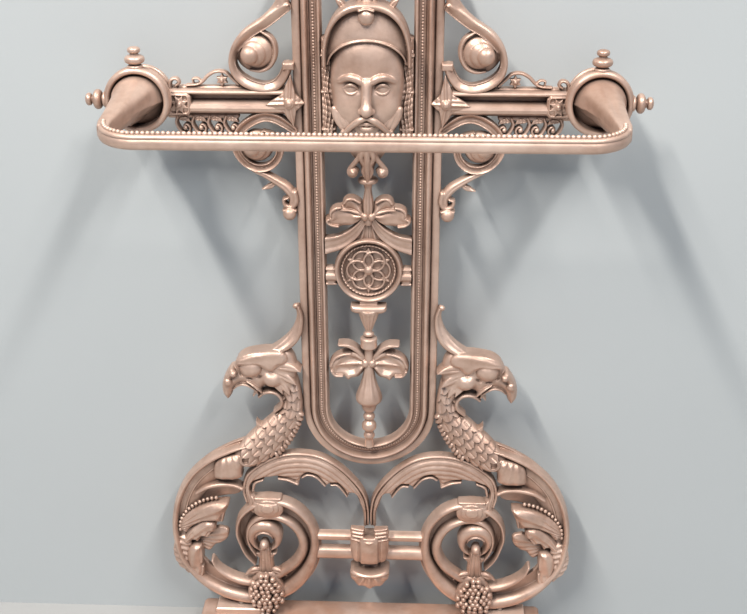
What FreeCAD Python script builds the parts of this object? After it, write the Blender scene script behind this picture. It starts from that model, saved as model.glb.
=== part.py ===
import FreeCAD, Part
import math
import os

# Wall-backed stick stand: an ornamental casting with a moulded upright frame, cross arms,
# a mask, griffins and scrolls, a U-shaped rail out in front, and a base with a drip tray.
#
# Millimetres.  X runs across the stand, +Y to the wall, +Z up, floor at z = 0.
# Left is -X, as seen from the front.  Ornament is placed by (x, z), measured from the
# middle of the stand and the axis of the rail bosses, and by depth, the distance in
# front of the wall.  A plate goes from its back depth to its front depth.
#
# Columns of the tables: plates and leaves (x, z); bands (x, z, width);
# turned pieces (z, radius); pieces turned square to the wall (depth, radius).

# ---------------------------------------------------------------- dimensions
BOSS_Z = 645.0            # boss axis above the floor
WALL_Y = 95.0             # wall plane
BOSS_X = 215.0            # half the spacing of the rail bosses
CAST_BACK = 8.0           # clearance between the castings and the wall
PLATE = 17.0              # front of the plain plate of the frame

FRAME_R = 71.0            # half width of the upright frame
OPENING_R = 43.0          # half width of its opening
FRAME_LOW = -338.5        # centre of the bottom arc
FRAME_HIGH = 112.0        # centre of the top arc
FRAME_LAP = OPENING_R + 0.2   # ornament runs this far out, then is cut to the frame

BOSS_R = 31.0
BOSS_CUP_R = 25.0
BOSS_FRONT = 46.0
STUD_R = 5.0
FINIAL_DEPTH = 38.0

RAIL_FRONT = 157.0        # front of the rail from the wall plane
RAIL_X = 231.5            # outside half width of the rail
RAIL_DEEP = 11.0
RAIL_TALL = 14.0
RAIL_DROOP = 8.0          # fall of the rail from its pivot to its front
RAIL_PIVOT = 30.0         # depth at which the droop begins
RAIL_START = 40.0         # depth at which the bar begins
RAIL_CORNER = 34.0
RAIL_END_R = 10.5         # round ends of the rail, inside the bosses
BEAD_R = 2.0
BEAD_PITCH = 4.6
BEADS_FROM = 119.0        # least depth of a bead

ARM_OUTER, ARM_INNER = -192.0, -68.0    # ends of the left cross arm

BASE_W = 400.0
BASE_D = 190.0
BASE_H = 38.0
BASE_WALL = 17.0
SHELF_D = 46.0            # depth of the rear shelf
TRAY_GAP = 2.0
BOLT_X = 150.0
BOLT_DEPTH = 20.0

PETTY_SOLID = 0.12        # fitted scraps up to this share of the largest solid are dropped

Vec = FreeCAD.Vector


# ------------------------------------------------------------ points and paths
def point(x, z, depth):
    return Vec(x, WALL_Y - depth, BOSS_Z + z)


def smooth(path, steps, closed=False):
    """Catmull-Rom points through a path."""
    out = []
    size = len(path)
    for i in range(size if closed else size - 1):
        if closed:
            before, start, end, after = (path[(i + k) % size] for k in (-1, 0, 1, 2))
        else:
            start, end = path[i], path[i + 1]
            before = path[i - 1] if i > 0 else tuple(2 * a - b for a, b in zip(start, end))
            after = (path[i + 2] if i + 2 < size
                     else tuple(2 * a - b for a, b in zip(end, start)))
        for k in range(steps):
            t = k / steps
            out.append(tuple(
                0.5 * (2 * b + (c - a) * t + (2 * a - 5 * b + 4 * c - e) * t * t
                       + (3 * b - a - 3 * c + e) * t ** 3)
                for a, b, c, e in zip(before, start, end, after)))
    if not closed:
        out.append(tuple(path[-1]))
    return out


def turn_points(points, x, z, cos, sin):
    """Points (along, across) turned to a direction and moved to x, z."""
    return [(x + u * cos - v * sin, z + u * sin + v * cos) for u, v in points]


def ellipse_arc(radius_x, radius_z, start, end, width, z, steps=12):
    """Band path along an ellipse centred at z on the middle line; angles in degrees."""
    path = []
    for k in range(steps + 1):
        angle = math.radians(start + (end - start) * k / steps)
        path.append((radius_x * math.cos(angle), z + radius_z * math.sin(angle), width))
    return path


def hexagon_points(across_flats):
    radius = across_flats / math.sqrt(3)
    return [(radius * math.cos(math.radians(60 * k)), radius * math.sin(math.radians(60 * k)))
            for k in range(6)]


# ---------------------------------------------------------------------- plates
def closed_face(points):
    return Part.Face(Part.makePolygon(points + [points[0]]))


def forward(back, front):
    return Vec(0, back - front, 0)


def spline_edge(points):
    if len(points) == 2:
        return Part.makeLine(points[0], points[1])
    curve = Part.BSplineCurve()
    curve.interpolate(points)
    return curve.toShape()


def curved_plate(runs, back, front):
    """Plate bounded by curved runs that meet at corners."""
    edges = [spline_edge([point(x, z, back) for x, z in run]) for run in runs]
    return Part.Face(Part.Wire(edges)).extrude(forward(back, front))


def flat_plate(points, back, front):
    """Plate with straight sides."""
    return closed_face([point(x, z, back) for x, z in points]).extrude(forward(back, front))


def leaf_plate(points, back, front, steps=4):
    """Plate with a smoothed outline."""
    return flat_plate(smooth(points, steps, closed=True), back, front)


def block(x0, x1, z0, z1, back, front):
    return flat_plate([(x0, z0), (x1, z0), (x1, z1), (x0, z1)], back, front)


def band(path, back, front, steps=5, facets=False):
    """Strap along a path of (x, z, width), with splined or faceted sides."""
    path = smooth(path, steps)
    left, right = [], []
    for i, (x, z, width) in enumerate(path):
        before = path[max(i - 1, 0)]
        after = path[min(i + 1, len(path) - 1)]
        run_x, run_z = after[0] - before[0], after[1] - before[1]
        run = math.hypot(run_x, run_z)
        side_x, side_z = -run_z / run * width / 2, run_x / run * width / 2
        left.append(point(x + side_x, z + side_z, back))
        right.append(point(x - side_x, z - side_z, back))
    right.reverse()
    if facets:
        return closed_face(left + right).extrude(forward(back, front))
    edges = [spline_edge(left), Part.makeLine(left[-1], right[0]),
             spline_edge(right), Part.makeLine(right[-1], left[0])]
    return Part.Face(Part.Wire(edges)).extrude(forward(back, front))


# ---------------------------------------------------------------- round shapes
def disc(x, z, radius, back, front):
    return Part.makeCylinder(radius, front - back, point(x, z, back), Vec(0, -1, 0))


def ring(x, z, outer, inner, back, front):
    return disc(x, z, outer, back, front).cut(disc(x, z, inner, back - 1, front + 1))


def ball(x, z, depth, radius):
    return Part.makeSphere(radius, point(x, z, depth))


def dome(x, z, radius, back, height):
    """Domed button on a face at the back depth."""
    curve = (radius * radius + height * height) / (2 * height)
    sphere = Part.makeSphere(curve, point(x, z, back + height - curve))
    return sphere.common(disc(x, z, radius, back, back + height + 1))


def domed_disc(x, z, radius, back, front, height):
    """Disc and the dome sunk 0.5 into its front."""
    return [disc(x, z, radius, back, front), dome(x, z, radius, front - 0.5, height)]


def egg(x, z, depth, radius_x, radius_z, radius_depth):
    matrix = FreeCAD.Matrix()
    matrix.scale(Vec(radius_x, radius_depth, radius_z))
    shape = Part.makeSphere(1.0).transformGeometry(matrix)
    shape.translate(point(x, z, depth))
    return shape


def spin(points, axis):
    return closed_face(points).revolve(Vec(0, 0, 0), axis, 360)


def turned(depth, profile):
    """Turned about a vertical line on the middle of the stand; profile is (z, radius)."""
    points = ([Vec(0, 0, profile[0][0])] + [Vec(radius, 0, z) for z, radius in profile]
              + [Vec(0, 0, profile[-1][0])])
    shape = spin(points, Vec(0, 0, 1))
    shape.translate(point(0, 0, depth))
    return shape


def turned_out(x, profile):
    """Turned about a line square to the wall at boss height; profile is (depth, radius)."""
    points = ([Vec(0, -profile[0][0], 0)]
              + [Vec(radius, -depth, 0) for depth, radius in profile]
              + [Vec(0, -profile[-1][0], 0)])
    shape = spin(points, Vec(0, 1, 0))
    shape.translate(point(x, 0, 0))
    return shape


# ------------------------------------------------------------ joining and pairs
def fuse(items):
    return items[0].multiFuse(items[1:]).removeSplitter()


def mirror(shape):
    return shape.mirror(Vec(0, 0, 0), Vec(1, 0, 0))


def both(shape):
    """The left piece and its mirror image as one compound."""
    return Part.makeCompound([shape, mirror(shape)])


def pair(name, shape):
    """The left piece and its mirror image as two named pieces."""
    return [(name + "_left", shape), (name + "_right", mirror(shape))]


def space_behind(depth, low):
    """Box 400 tall from low up, that cuts away all behind a depth."""
    return Part.makeBox(200, 80, 400, point(-100, low, depth))


# --------------------------------------------------------------- upright frame
def stadium(radius, back, front):
    body = Part.makeBox(2 * radius, front - back, FRAME_HIGH - FRAME_LOW,
                        point(-radius, FRAME_LOW, front))
    arcs = [disc(0, z, radius, back, front) for z in (FRAME_LOW, FRAME_HIGH)]
    return body.fuse(arcs).removeSplitter()


def track(outer, inner, back, front):
    return stadium(outer, back, front).cut(stadium(inner, back - 1, front + 1))


def upright_frame():
    """Plain plate with three raised mouldings."""
    return fuse([track(FRAME_R, OPENING_R, CAST_BACK, PLATE),
                 track(66.0, 60.0, PLATE - 1, 21.5),
                 track(58.0, 54.0, PLATE - 1, 24.5),
                 track(50.5, 45.5, PLATE - 1, 21.5)])


# ----------------------------------------------------------------- rail bosses
def rail_boss():
    boss = turned_out(-BOSS_X, [
        (CAST_BACK, 27.0), (14.0, 27.0), (14.0, 24.5), (30.0, 24.5),
        (33.0, BOSS_R), (BOSS_FRONT - 2, BOSS_R), (BOSS_FRONT, 29.0)])
    cup = turned_out(-BOSS_X, [
        (20.0, 19.0), (30.0, BOSS_CUP_R - 3.0), (34.0, BOSS_CUP_R), (60.0, BOSS_CUP_R)])
    return boss.cut([cup, disc(-BOSS_X, 0, STUD_R + 0.3, 0, 60)])


# (height from the rim of the boss, radius)
FINIAL_PROFILE = [
    (-2.0, 6.5), (-1.0, 7.2), (0.6, 7.3), (1.6, 6.2), (2.0, 4.7), (2.6, 4.6),
    (3.0, 6.8), (4.2, 8.8), (6.4, 9.5), (8.6, 9.0), (10.0, 7.0), (10.8, 4.4),
    (11.4, 3.9), (12.0, 4.4), (13.0, 5.6), (15.0, 6.0), (17.0, 5.2), (18.2, 3.4)]
FINIAL_TIP = 18.6


def finial(x, z, toward_x, toward_z):
    """Two flattened balls, one beyond the other."""
    points = ([Vec(0, 0, FINIAL_PROFILE[0][0])]
              + [Vec(radius, 0, height) for height, radius in FINIAL_PROFILE]
              + [Vec(0, 0, FINIAL_TIP)])
    shape = spin(points, Vec(0, 0, 1))
    turn = FreeCAD.Rotation(Vec(0, 0, 1), Vec(toward_x, 0, toward_z))
    shape.Placement = FreeCAD.Placement(point(x, z, FINIAL_DEPTH), turn)
    return shape


def boss_finials():
    """One finial on top of each boss and one at its outer side."""
    return Part.makeCompound([
        finial(-BOSS_X, BOSS_R, 0, 1), finial(BOSS_X, BOSS_R, 0, 1),
        finial(-BOSS_X - BOSS_R, 0, -1, 0), finial(BOSS_X + BOSS_R, 0, 1, 0)])


# ------------------------------------------------------------------ stick rail
RAIL_LINE_X = RAIL_X - RAIL_DEEP / 2
RAIL_LINE_FRONT = RAIL_FRONT - RAIL_DEEP / 2


def rail_line(offset, arc_steps=8):
    """Plan of the rail as (x, depth), from the right boss round to the left one."""
    half_width = RAIL_LINE_X + offset
    front = RAIL_LINE_FRONT + offset
    corner = RAIL_CORNER + offset
    half = [(BOSS_X + offset, RAIL_PIVOT), (BOSS_X + offset + 0.4, 52.0),
            (half_width, front - corner)]
    for k in range(1, arc_steps + 1):
        angle = math.pi / 2 * k / arc_steps
        half.append((half_width - corner + corner * math.cos(angle),
                     front - corner + corner * math.sin(angle)))
    half.append((0.0, front))
    return half + [(-x, depth) for x, depth in reversed(half[:-1])]


def rail_bar(inner, outer, bottom, top):
    """Level bar with upright sides between two offsets of the rail line."""
    loop = [Vec(x, WALL_Y - depth, 0)
            for x, depth in rail_line(outer) + rail_line(inner)[::-1]]
    bar = closed_face(loop).extrude(Vec(0, 0, top - bottom))
    bar.translate(Vec(0, 0, bottom))
    return bar


def rail_beads():
    """Row of small cones along the top of the corners and front of the rail."""
    line = rail_line(0.6, 16)
    length = sum(math.dist(a, b) for a, b in zip(line, line[1:]))
    count = int(length / BEAD_PITCH)
    beads = []
    seg, passed = 0, 0.0
    for k in range(count + 1):
        target = length * k / count
        while seg < len(line) - 2 and passed + math.dist(line[seg], line[seg + 1]) < target:
            passed += math.dist(line[seg], line[seg + 1])
            seg += 1
        start, end = line[seg], line[seg + 1]
        share = (target - passed) / math.dist(start, end)
        x = start[0] + (end[0] - start[0]) * share
        depth = start[1] + (end[1] - start[1]) * share
        if depth >= BEADS_FROM:
            beads.append(Part.makeCone(BEAD_R, BEAD_R * 0.55, 2.2,
                                       Vec(x, WALL_Y - depth, RAIL_TALL / 2 - 0.4)))
    return beads


def stick_rail():
    half_tall, half_deep = RAIL_TALL / 2, RAIL_DEEP / 2
    bars = [rail_bar(-half_deep, half_deep, -half_tall + 2.5, half_tall - 3.5),
            rail_bar(-half_deep + 1.8, half_deep - 1.8, -half_tall, half_tall - 1.5),
            rail_bar(-half_deep + 3.0, half_deep - 3.2, half_tall - 2.0, half_tall)]
    rail = bars[0].fuse(bars[1:])
    rail = rail.fuse(rail_beads())
    # made level at z = 0, then tilted down towards the front and lifted to the bosses
    tilt = math.degrees(math.atan2(RAIL_DROOP, RAIL_FRONT - RAIL_PIVOT))
    rail.rotate(Vec(0, WALL_Y - RAIL_PIVOT, 0), Vec(1, 0, 0), tilt)
    rail.translate(Vec(0, 0, BOSS_Z))
    rail = rail.common(Part.makeBox(700, 400, 200, point(-350, -120, RAIL_START + 400)))
    ends = []
    for side in (-1, 1):
        ends.append(disc(side * BOSS_X, 0, RAIL_END_R, 21.0, 52.0))
        ends.append(disc(side * BOSS_X, 0, STUD_R, 3.0, 24.0))
    return rail.fuse(ends).removeSplitter()


def rail_collars(rail):
    """Horns that fill the bosses and draw down to the rail at each corner."""
    sections = [    # (depth, radius)
        (24.0, 17.8), (29.0, 20.6), (34.5, 24.0), (40.0, 23.8), (47.0, 21.6),
        (60.0, 17.6), (76.0, 14.0), (95.0, 10.6), (110.0, 9.0), (118.0, 8.3)]
    straight = RAIL_LINE_FRONT - RAIL_CORNER - RAIL_START
    wires = []
    for depth, radius in sections:
        along = min(max(depth - RAIL_START, 0.0) / straight, 1.0)
        shift = (RAIL_LINE_X - BOSS_X) * along
        fall = RAIL_DROOP * max((depth - RAIL_PIVOT) / (RAIL_FRONT - RAIL_PIVOT), 0.0)
        centre = point(-BOSS_X - shift, -fall, depth)
        wires.append(Part.Wire(Part.makeCircle(radius, centre, Vec(0, 1, 0))))
    collar = Part.makeLoft(wires, True, True)
    collar = collar.cut([rail, disc(-BOSS_X, 0, RAIL_END_R + 0.2, 0, 56)])
    return both(max(collar.Solids, key=lambda solid: solid.Volume))


def rail_washer():
    return disc(-BOSS_X, 0, 10.0, 6.6, CAST_BACK).cut(disc(-BOSS_X, 0, STUD_R + 0.2, 0, 10))


def rail_nut():
    corners = [(-BOSS_X + x, z) for x, z in hexagon_points(16.0)]
    return flat_plate(corners, 0.6, 6.6).cut(disc(-BOSS_X, 0, STUD_R, 0, 10))


# ------------------------------------------------------------------ cross arms
def cross_arm():
    return fuse([block(ARM_OUTER, ARM_INNER, low, high, back, front)
                 for low, high, back, front in [
                     (-19, 8, CAST_BACK, 15.0),
                     (-0.5, 7, 14.0, 21.0), (1.5, 5, 20.0, 23.5),
                     (-18, -6, 14.0, 20.0), (-16, -8, 19.0, 24.0)]])


def boss_rosette():
    """Domed block at the outer end of an arm, with a small ring above."""
    tablet = [(-190, -18), (-171, -18), (-169, -13), (-169, -3), (-171, 2), (-190, 2)]
    return fuse([flat_plate(tablet, 15.0, 26.0),
                 dome(-179.5, -8, 7.5, 25.5, 4.0),
                 ring(-183.5, 11.5, 6.0, 2.6, 15.0, 22.0),
                 block(-186, -181, 1, 7, 15.0, 21.0)])


def arm_star():
    """Four-pointed star where the arm meets the frame."""
    centre = (-74.0, -6.0)
    rays = []
    for tip in [(-97.5, -8.0), (-72.5, 21.0), (-50.5, -4.0), (-71.0, -29.0)]:
        length = math.dist(centre, tip)
        cos, sin = (tip[0] - centre[0]) / length, (tip[1] - centre[1]) / length
        ray = [(0, -6.5), (length * 0.34, -6.6), (length, 0), (length * 0.34, 6.6), (0, 6.5)]
        rays.append(flat_plate(turn_points(ray, *centre, cos, sin), 20.0, 28.0))
    return fuse(rays + [dome(*centre, 6.0, 27.5, 4.5)])


def arm_fret():
    """Openwork below the arm: two bars joined by wavy straps, with buttons between."""
    parts = [block(-191, -124, -24, -19, 10.0, 17.0),
             block(-184, -126, -44, -40.5, 10.0, 17.0)]
    for k in range(4):
        x = -184 + 16 * k
        parts.append(band([(x, -22, 4), (x + 5, -28, 4.5), (x + 3, -35, 4.5),
                           (x + 8, -42, 4)], 10.0, 20.0))
        parts.append(band([(x + 12, -22, 4), (x + 9, -29, 4.5), (x + 12, -36, 4.5),
                           (x + 9, -42, 4)], 10.0, 20.0))
        parts.append(dome(x + 7, -31, 3.6, 17.0, 5.0).fuse(disc(x + 7, -31, 3.6, 10.0, 17.2)))
    return fuse(parts)


def arm_cresting():
    """Low arched strap on top of the arm, round a small disc."""
    strap = [(-172, 8.2, 3.2), (-163, 9, 3.2), (-157, 12, 3.2), (-151, 18.5, 3.2),
             (-143, 22, 3.2), (-135, 21, 3.2), (-129, 15, 3.2), (-123, 9.4, 3.2)]
    return fuse([band(strap, 12.0, 17.5),
                 disc(-137.5, 14.5, 5.2, 12.0, 18.0),
                 dome(-137.5, 14.5, 3.2, 17.5, 3.0),
                 block(-139.5, -135.5, 7, 12, 12.0, 16.5)])


def upper_scroll():
    """Leaf scroll in the angle above the arm."""
    stem = [(-70.5, 122, 5), (-72.5, 104, 9), (-78, 90, 11), (-90, 79, 12), (-104, 69, 12),
            (-116, 58, 12), (-124, 45, 11.5), (-126, 31, 11), (-121, 18, 11), (-110, 10, 11),
            (-97, 8.5, 11), (-86, 14, 11), (-79, 23, 10.5), (-76.5, 34, 10)]
    curl = [(-116, 60, 4), (-103, 61.5, 8), (-91, 54, 9), (-88, 41, 9), (-95, 29, 8),
            (-108, 24, 7), (-119, 29, 6)]
    return fuse([band(stem, 10.0, 20.0),
                 band(curl, 12.0, 26.0, 4, facets=True),
                 *domed_disc(-108, 42, 15.5, 12.0, 22.0, 10.0)])


def lower_bracket():
    """Curled bracket below the arm, with a short tail ending in a button."""
    curl = [(-84, -21, 7), (-93, -23, 8), (-103, -25, 8), (-115, -27, 8), (-124, -34, 8),
            (-128.5, -45, 8), (-126, -57, 8), (-119, -66, 8), (-108, -70.5, 8.5),
            (-97, -68, 8), (-90, -60, 7.5), (-89.5, -49, 7), (-95, -40, 6), (-104, -37, 5)]
    tail = [(-112, -72, 7), (-101, -79, 9), (-90, -86, 10), (-80, -92, 11),
            (-74, -101, 10), (-75, -110, 8)]
    return fuse([band(curl, 10.0, 19.0),
                 *domed_disc(-108.5, -50, 13.0, 12.0, 20.0, 9.0),
                 band(tail, 10.0, 20.0),
                 *domed_disc(-77.5, -117, 6.8, 10.0, 20.0, 4.5)])


# --------------------------------------------------------- mask and headdress
# The brow, the foot of the nose and the chin are one third of a face apart.
CHIN_Z, THIRD = -42.0, 32.0
NOSE_Z = CHIN_Z + THIRD
BROW_Z = CHIN_Z + 2 * THIRD
LIP_Z = CHIN_Z + THIRD * 2 / 3
EYE_X, EYE_Z = 14.4, 12.0
MASK_BACK = 14.0


def mask_face():
    head = egg(0, 10, 21.0, 35.0, 54.0, 24.0)
    jaw = egg(0, -20, 24.0, 26.0, 30.0, 19.0)
    nose = Part.makeCone(6.4, 2.6, BROW_Z - NOSE_Z - 2, point(0, NOSE_Z, 42.0),
                         Vec(0, 0.22, 1))
    lids = [egg(side * EYE_X, EYE_Z, 40.0, 8.0, 3.8, 4.0) for side in (-1, 1)]
    lips = [egg(0, LIP_Z + 1.6, 43.5, 9.5, 2.0, 3.8), egg(0, LIP_Z - 2.6, 43.0, 8.4, 2.2, 3.8)]
    brows = [band([(side * 5, BROW_Z - 2, 3.5), (side * 14, BROW_Z + 1, 4),
                   (side * 26, BROW_Z - 2, 3)], 34.0, 44.0) for side in (-1, 1)]
    face = fuse([head, jaw, nose] + lids + lips + brows)
    return face.cut(space_behind(MASK_BACK, -200))


def mask_hood():
    """Arched hood with two bands, a button and a stub up to the frame."""
    crown = [(x, z) for x, z, _ in ellipse_arc(41, 47, 0, 180, 0, 35.0)]
    return fuse([curved_plate([crown, [(-41, 35), (41, 35)]], 10.0, 34.0),
                 band(ellipse_arc(37.5, 50, 4, 176, 7, 36.0), 33.0, 44.0),
                 band(ellipse_arc(37.0, 26, 8, 172, 4, 32.0), 33.0, 47.0),
                 disc(0, 77, 8.0, 33.0, 46.0), dome(0, 77, 7.0, 45.5, 4.0),
                 flat_plate([(-4, 84), (4, 84), (5, 104), (0, 112), (-5, 104)], 16.0, 36.0)])


def mask_lappet():
    """Ribbed strip at the side of the face."""
    strip = [(-FRAME_LAP, 42), (-34, 48), (-33, -40), (-FRAME_LAP, -46)]
    return fuse([flat_plate(strip, 10.0, 24.0)]
                + [block(-42.8, -34.6, z, z + 4.2, 23.0, 27.5) for z in range(-36, 38, 8)])


def mask_beard():
    beard = fuse([egg(0, -47, 28.0, 19.0, 26.0, 17.0),
                  egg(-9, -27, 44.0, 10.5, 4.0, 5.0), egg(9, -27, 44.0, 10.5, 4.0, 5.0),
                  ball(-13.5, -72, 28.0, 6.6), ball(13.5, -72, 28.0, 6.6),
                  egg(-10, -62, 28.0, 7.0, 9.0, 8.0), egg(10, -62, 28.0, 7.0, 9.0, 8.0),
                  egg(0, -66, 29.0, 6.0, 10.5, 7.0)])
    return beard.cut(space_behind(MASK_BACK, -200))


# ------------------------------------------------- pendant inside the frame
PENDANT_DEPTH = 22.0      # depth of the axis of the turned pieces
MEDALLION_Z = -177.5


def pendant_stem():
    return turned(PENDANT_DEPTH, [
        (-75.0, 4.0), (-78.5, 4.0), (-80.0, 9.5), (-84.0, 9.5), (-86.0, 5.0),
        (-90.0, 3.6), (-97.0, 4.4), (-106.0, 5.5), (-118.0, 5.0), (-128.0, 3.0)])


def upper_leaf():
    leaf = [(-3, -114), (-6, -103), (-15, -97), (-23, -99), (-25, -106), (-33, -109),
            (-35, -115), (-41, -119), (-41.5, -127), (-31, -130), (-17, -130.5), (-6, -124)]
    rib = [(-4, -116, 4), (-16, -113, 4.5), (-28, -118, 4), (-38, -124, 3)]
    return fuse([leaf_plate(leaf, 14.0, 21.0), band(rib, 20.5, 24.0)])


def medallion_ribbon():
    """Widening ribbon from the stem out to the frame, with a raised rib."""
    line = [(-3.5, -122), (-10, -131), (-20, -141), (-31, -147.5), (-FRAME_LAP, -149)]

    def strap(widths, back, front):
        return band([(x, z, width) for (x, z), width in zip(line, widths)], back, front)

    return fuse([strap((6, 8, 10, 12, 14), 12.0, 20.0), strap((2, 3, 4, 4, 4), 19.5, 23.0)])


def medallion():
    """Disc with two raised rims round six linked rings and a central dome."""
    parts = [disc(0, MEDALLION_Z, 34.0, 14.0, 20.0),
             ring(0, MEDALLION_Z, 34.5, 30.0, 14.0, 24.5),
             ring(0, MEDALLION_Z, 25.5, 22.5, 19.0, 23.0),
             dome(0, MEDALLION_Z, 6.0, 19.8, 4.5)]
    for k in range(6):
        angle = math.radians(60 * k)
        parts.append(ring(10.5 * math.cos(angle), MEDALLION_Z + 10.5 * math.sin(angle),
                          8.6, 6.2, 19.5, 22.0))
    return fuse(parts)


def medallion_lug():
    return fuse([block(-FRAME_LAP, -33.5, -191, -172, 12.0, 21.0),
                 block(-FRAME_LAP, -33.5, -185, -178, 20.5, 24.0)])


def medallion_pendant():
    """Funnel under the medallion, with a flat cap across it."""
    funnel = turned(PENDANT_DEPTH, [
        (-211.0, 9.0), (-214.5, 9.0), (-215.0, 11.0), (-220.5, 11.0), (-222.0, 10.0),
        (-229.0, 8.5), (-236.0, 6.0), (-244.0, 3.4), (-246.0, 5.0), (-249.5, 5.0),
        (-251.0, 3.4)])
    cap = [(-17.5, -221), (17.5, -221), (18.5, -214.5), (-18.5, -214.5)]
    return fuse([funnel, flat_plate(cap, 15.0, 31.0)])


def pendant_block():
    return turned(PENDANT_DEPTH, [
        (-251.0, 6.5), (-252.5, 8.5), (-262.0, 8.5), (-264.0, 6.0), (-270.0, 5.0),
        (-284.0, 5.0)])


def lower_leaf():
    leaf = [(-3, -279), (-10, -270), (-20, -262), (-30, -258), (-31, -268), (-40, -276),
            (-41.5, -289), (-36, -297), (-26, -296), (-20, -301), (-11, -297), (-3, -290)]
    long_rib = [(-4, -283, 4), (-16, -281, 4), (-28, -283, 3.5), (-38, -285, 3)]
    short_rib = [(-6, -280, 3), (-16, -272, 3), (-26, -265, 2.5)]
    return fuse([leaf_plate(leaf, 14.0, 20.0), band(long_rib, 19.5, 23.5),
                 band(short_rib, 19.5, 22.5)])


def pendant_baluster():
    return turned(PENDANT_DEPTH, [
        (-284.0, 5.0), (-292.0, 6.0), (-302.0, 8.0), (-312.0, 11.5), (-320.0, 13.8),
        (-325.0, 13.8), (-329.0, 9.0), (-337.0, 7.0), (-340.0, 4.0), (-343.0, 5.6),
        (-347.0, 5.6), (-349.0, 3.6), (-352.0, 6.8), (-360.0, 7.2), (-363.0, 4.0),
        (-366.0, 5.6), (-371.0, 5.6), (-374.0, 4.2), (-382.0, 4.2)])


# -------------------------------------------------------------------- griffins
def griffin():
    """Beaked head facing outwards on a scaly neck."""
    skull = [(-150, -326), (-155, -320.5), (-155.8, -310), (-152.5, -300), (-146.5, -293),
             (-142.5, -287), (-139.5, -280), (-132.5, -272.5), (-124, -268), (-109, -265),
             (-92, -265), (-83, -268), (-78, -277), (-76, -289), (-77, -301), (-79, -314),
             (-84, -323), (-91, -322), (-96, -314), (-103, -310), (-111, -311),
             (-117.5, -318), (-120, -315), (-126, -310), (-132.5, -307.5), (-139, -310),
             (-144, -315), (-145.6, -320.5)]
    brow = [(-137, -276), (-131, -270), (-121, -267), (-108, -266), (-96, -266),
            (-88, -269), (-84.6, -275), (-89.5, -281), (-94.5, -281), (-98, -286),
            (-106, -286), (-112, -282), (-121, -281), (-133, -281)]
    wattle = [(-117, -323.5, 4), (-111.5, -318, 4.6), (-103, -315.8, 4.8), (-96, -319, 4.8),
              (-92.6, -326, 4.8), (-94, -334, 4.6), (-101, -341.5, 4.2)]
    crest = [(-98, -267, 8), (-89, -262.5, 10), (-80, -255.5, 11.5), (-74, -246, 10.5),
             (-71.6, -235, 8), (-71.6, -226, 6), (-73.5, -220, 4.6)]
    neck = [(-82, -316, 20), (-82.5, -336, 23), (-86, -348, 27), (-94, -359, 31),
            (-104, -371, 34), (-116, -384, 35), (-134, -399, 30)]
    scale_rows = [(-83, -336), (-87, -349), (-96, -362), (-107, -375), (-120, -387)]
    scales = [dome(x + 7.5 * k * 0.83, z - 7.5 * k * 0.55, 4.4, 26.8, 2.4)
              for x, z in scale_rows for k in (-1, 0, 1)]
    return fuse([leaf_plate(skull, 12.0, 27.0, 3), leaf_plate(brow, 26.0, 33.0, 3),
                 dome(-119, -291, 6.5, 26.5, 5.5), band(wattle, 13.0, 27.0),
                 band(crest, 12.0, 24.0), band(neck, 12.0, 27.0)] + scales)


# ------------------------------------------------- leaf arches under the frame
def leaf_arch():
    runs = [
        [(-0.4, -489), (-0.4, -466), (-4, -448), (-14, -430), (-32, -410), (-53, -397),
         (-76, -393), (-99, -396.5), (-120, -407.5), (-136.5, -423), (-141.5, -443),
         (-139, -460)],
        [(-139, -460), (-135, -471), (-125, -477.5), (-110, -478), (-99, -475),
         (-95.6, -467), (-97, -456), (-104, -451.5), (-118, -451)],
        [(-118, -451), (-126, -451.5), (-131, -447), (-131.5, -439), (-127, -432),
         (-118, -428), (-109, -426), (-100, -425.5), (-92, -427), (-85, -430),
         (-78.5, -435)],
        [(-78.5, -435), (-75, -425.5), (-68, -420), (-60, -422), (-54, -428), (-48, -437)],
        [(-48, -437), (-43, -433), (-36, -432.4), (-29, -440), (-24, -450)],
        [(-24, -450), (-21, -444.5), (-15, -448), (-11, -459), (-7.4, -471), (-7, -489)]]
    foot = [(-7, -489), (-0.4, -489)]
    rib = [(-2.2, -482, 3), (-2.6, -463, 3.6), (-6.5, -447, 4), (-16, -430.5, 4.4),
           (-33.5, -412, 4.8), (-54, -399.5, 5), (-76, -395.6, 5), (-98, -399, 5),
           (-118, -409.5, 5), (-133, -424.5, 4.8), (-138, -443, 4.6), (-136, -456, 4)]
    return fuse([curved_plate([smooth(run, 2) for run in runs] + [foot], 12.0, 20.0),
                 band(rib, 19.5, 24.0)])


def arch_volute(arch):
    """Raised pad on the curled end of the arch."""
    pad = [(-129.5, -454), (-126, -451), (-101, -451.3), (-97, -454.5), (-95.8, -463),
           (-97.5, -471.5), (-104, -477), (-119, -477.6), (-127.5, -474), (-130.6, -465)]
    volute = fuse([leaf_plate(pad, 19.6, 26.0, 3), dome(-113, -462, 7.0, 25.8, 2.6)])
    return volute.cut(arch)


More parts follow.
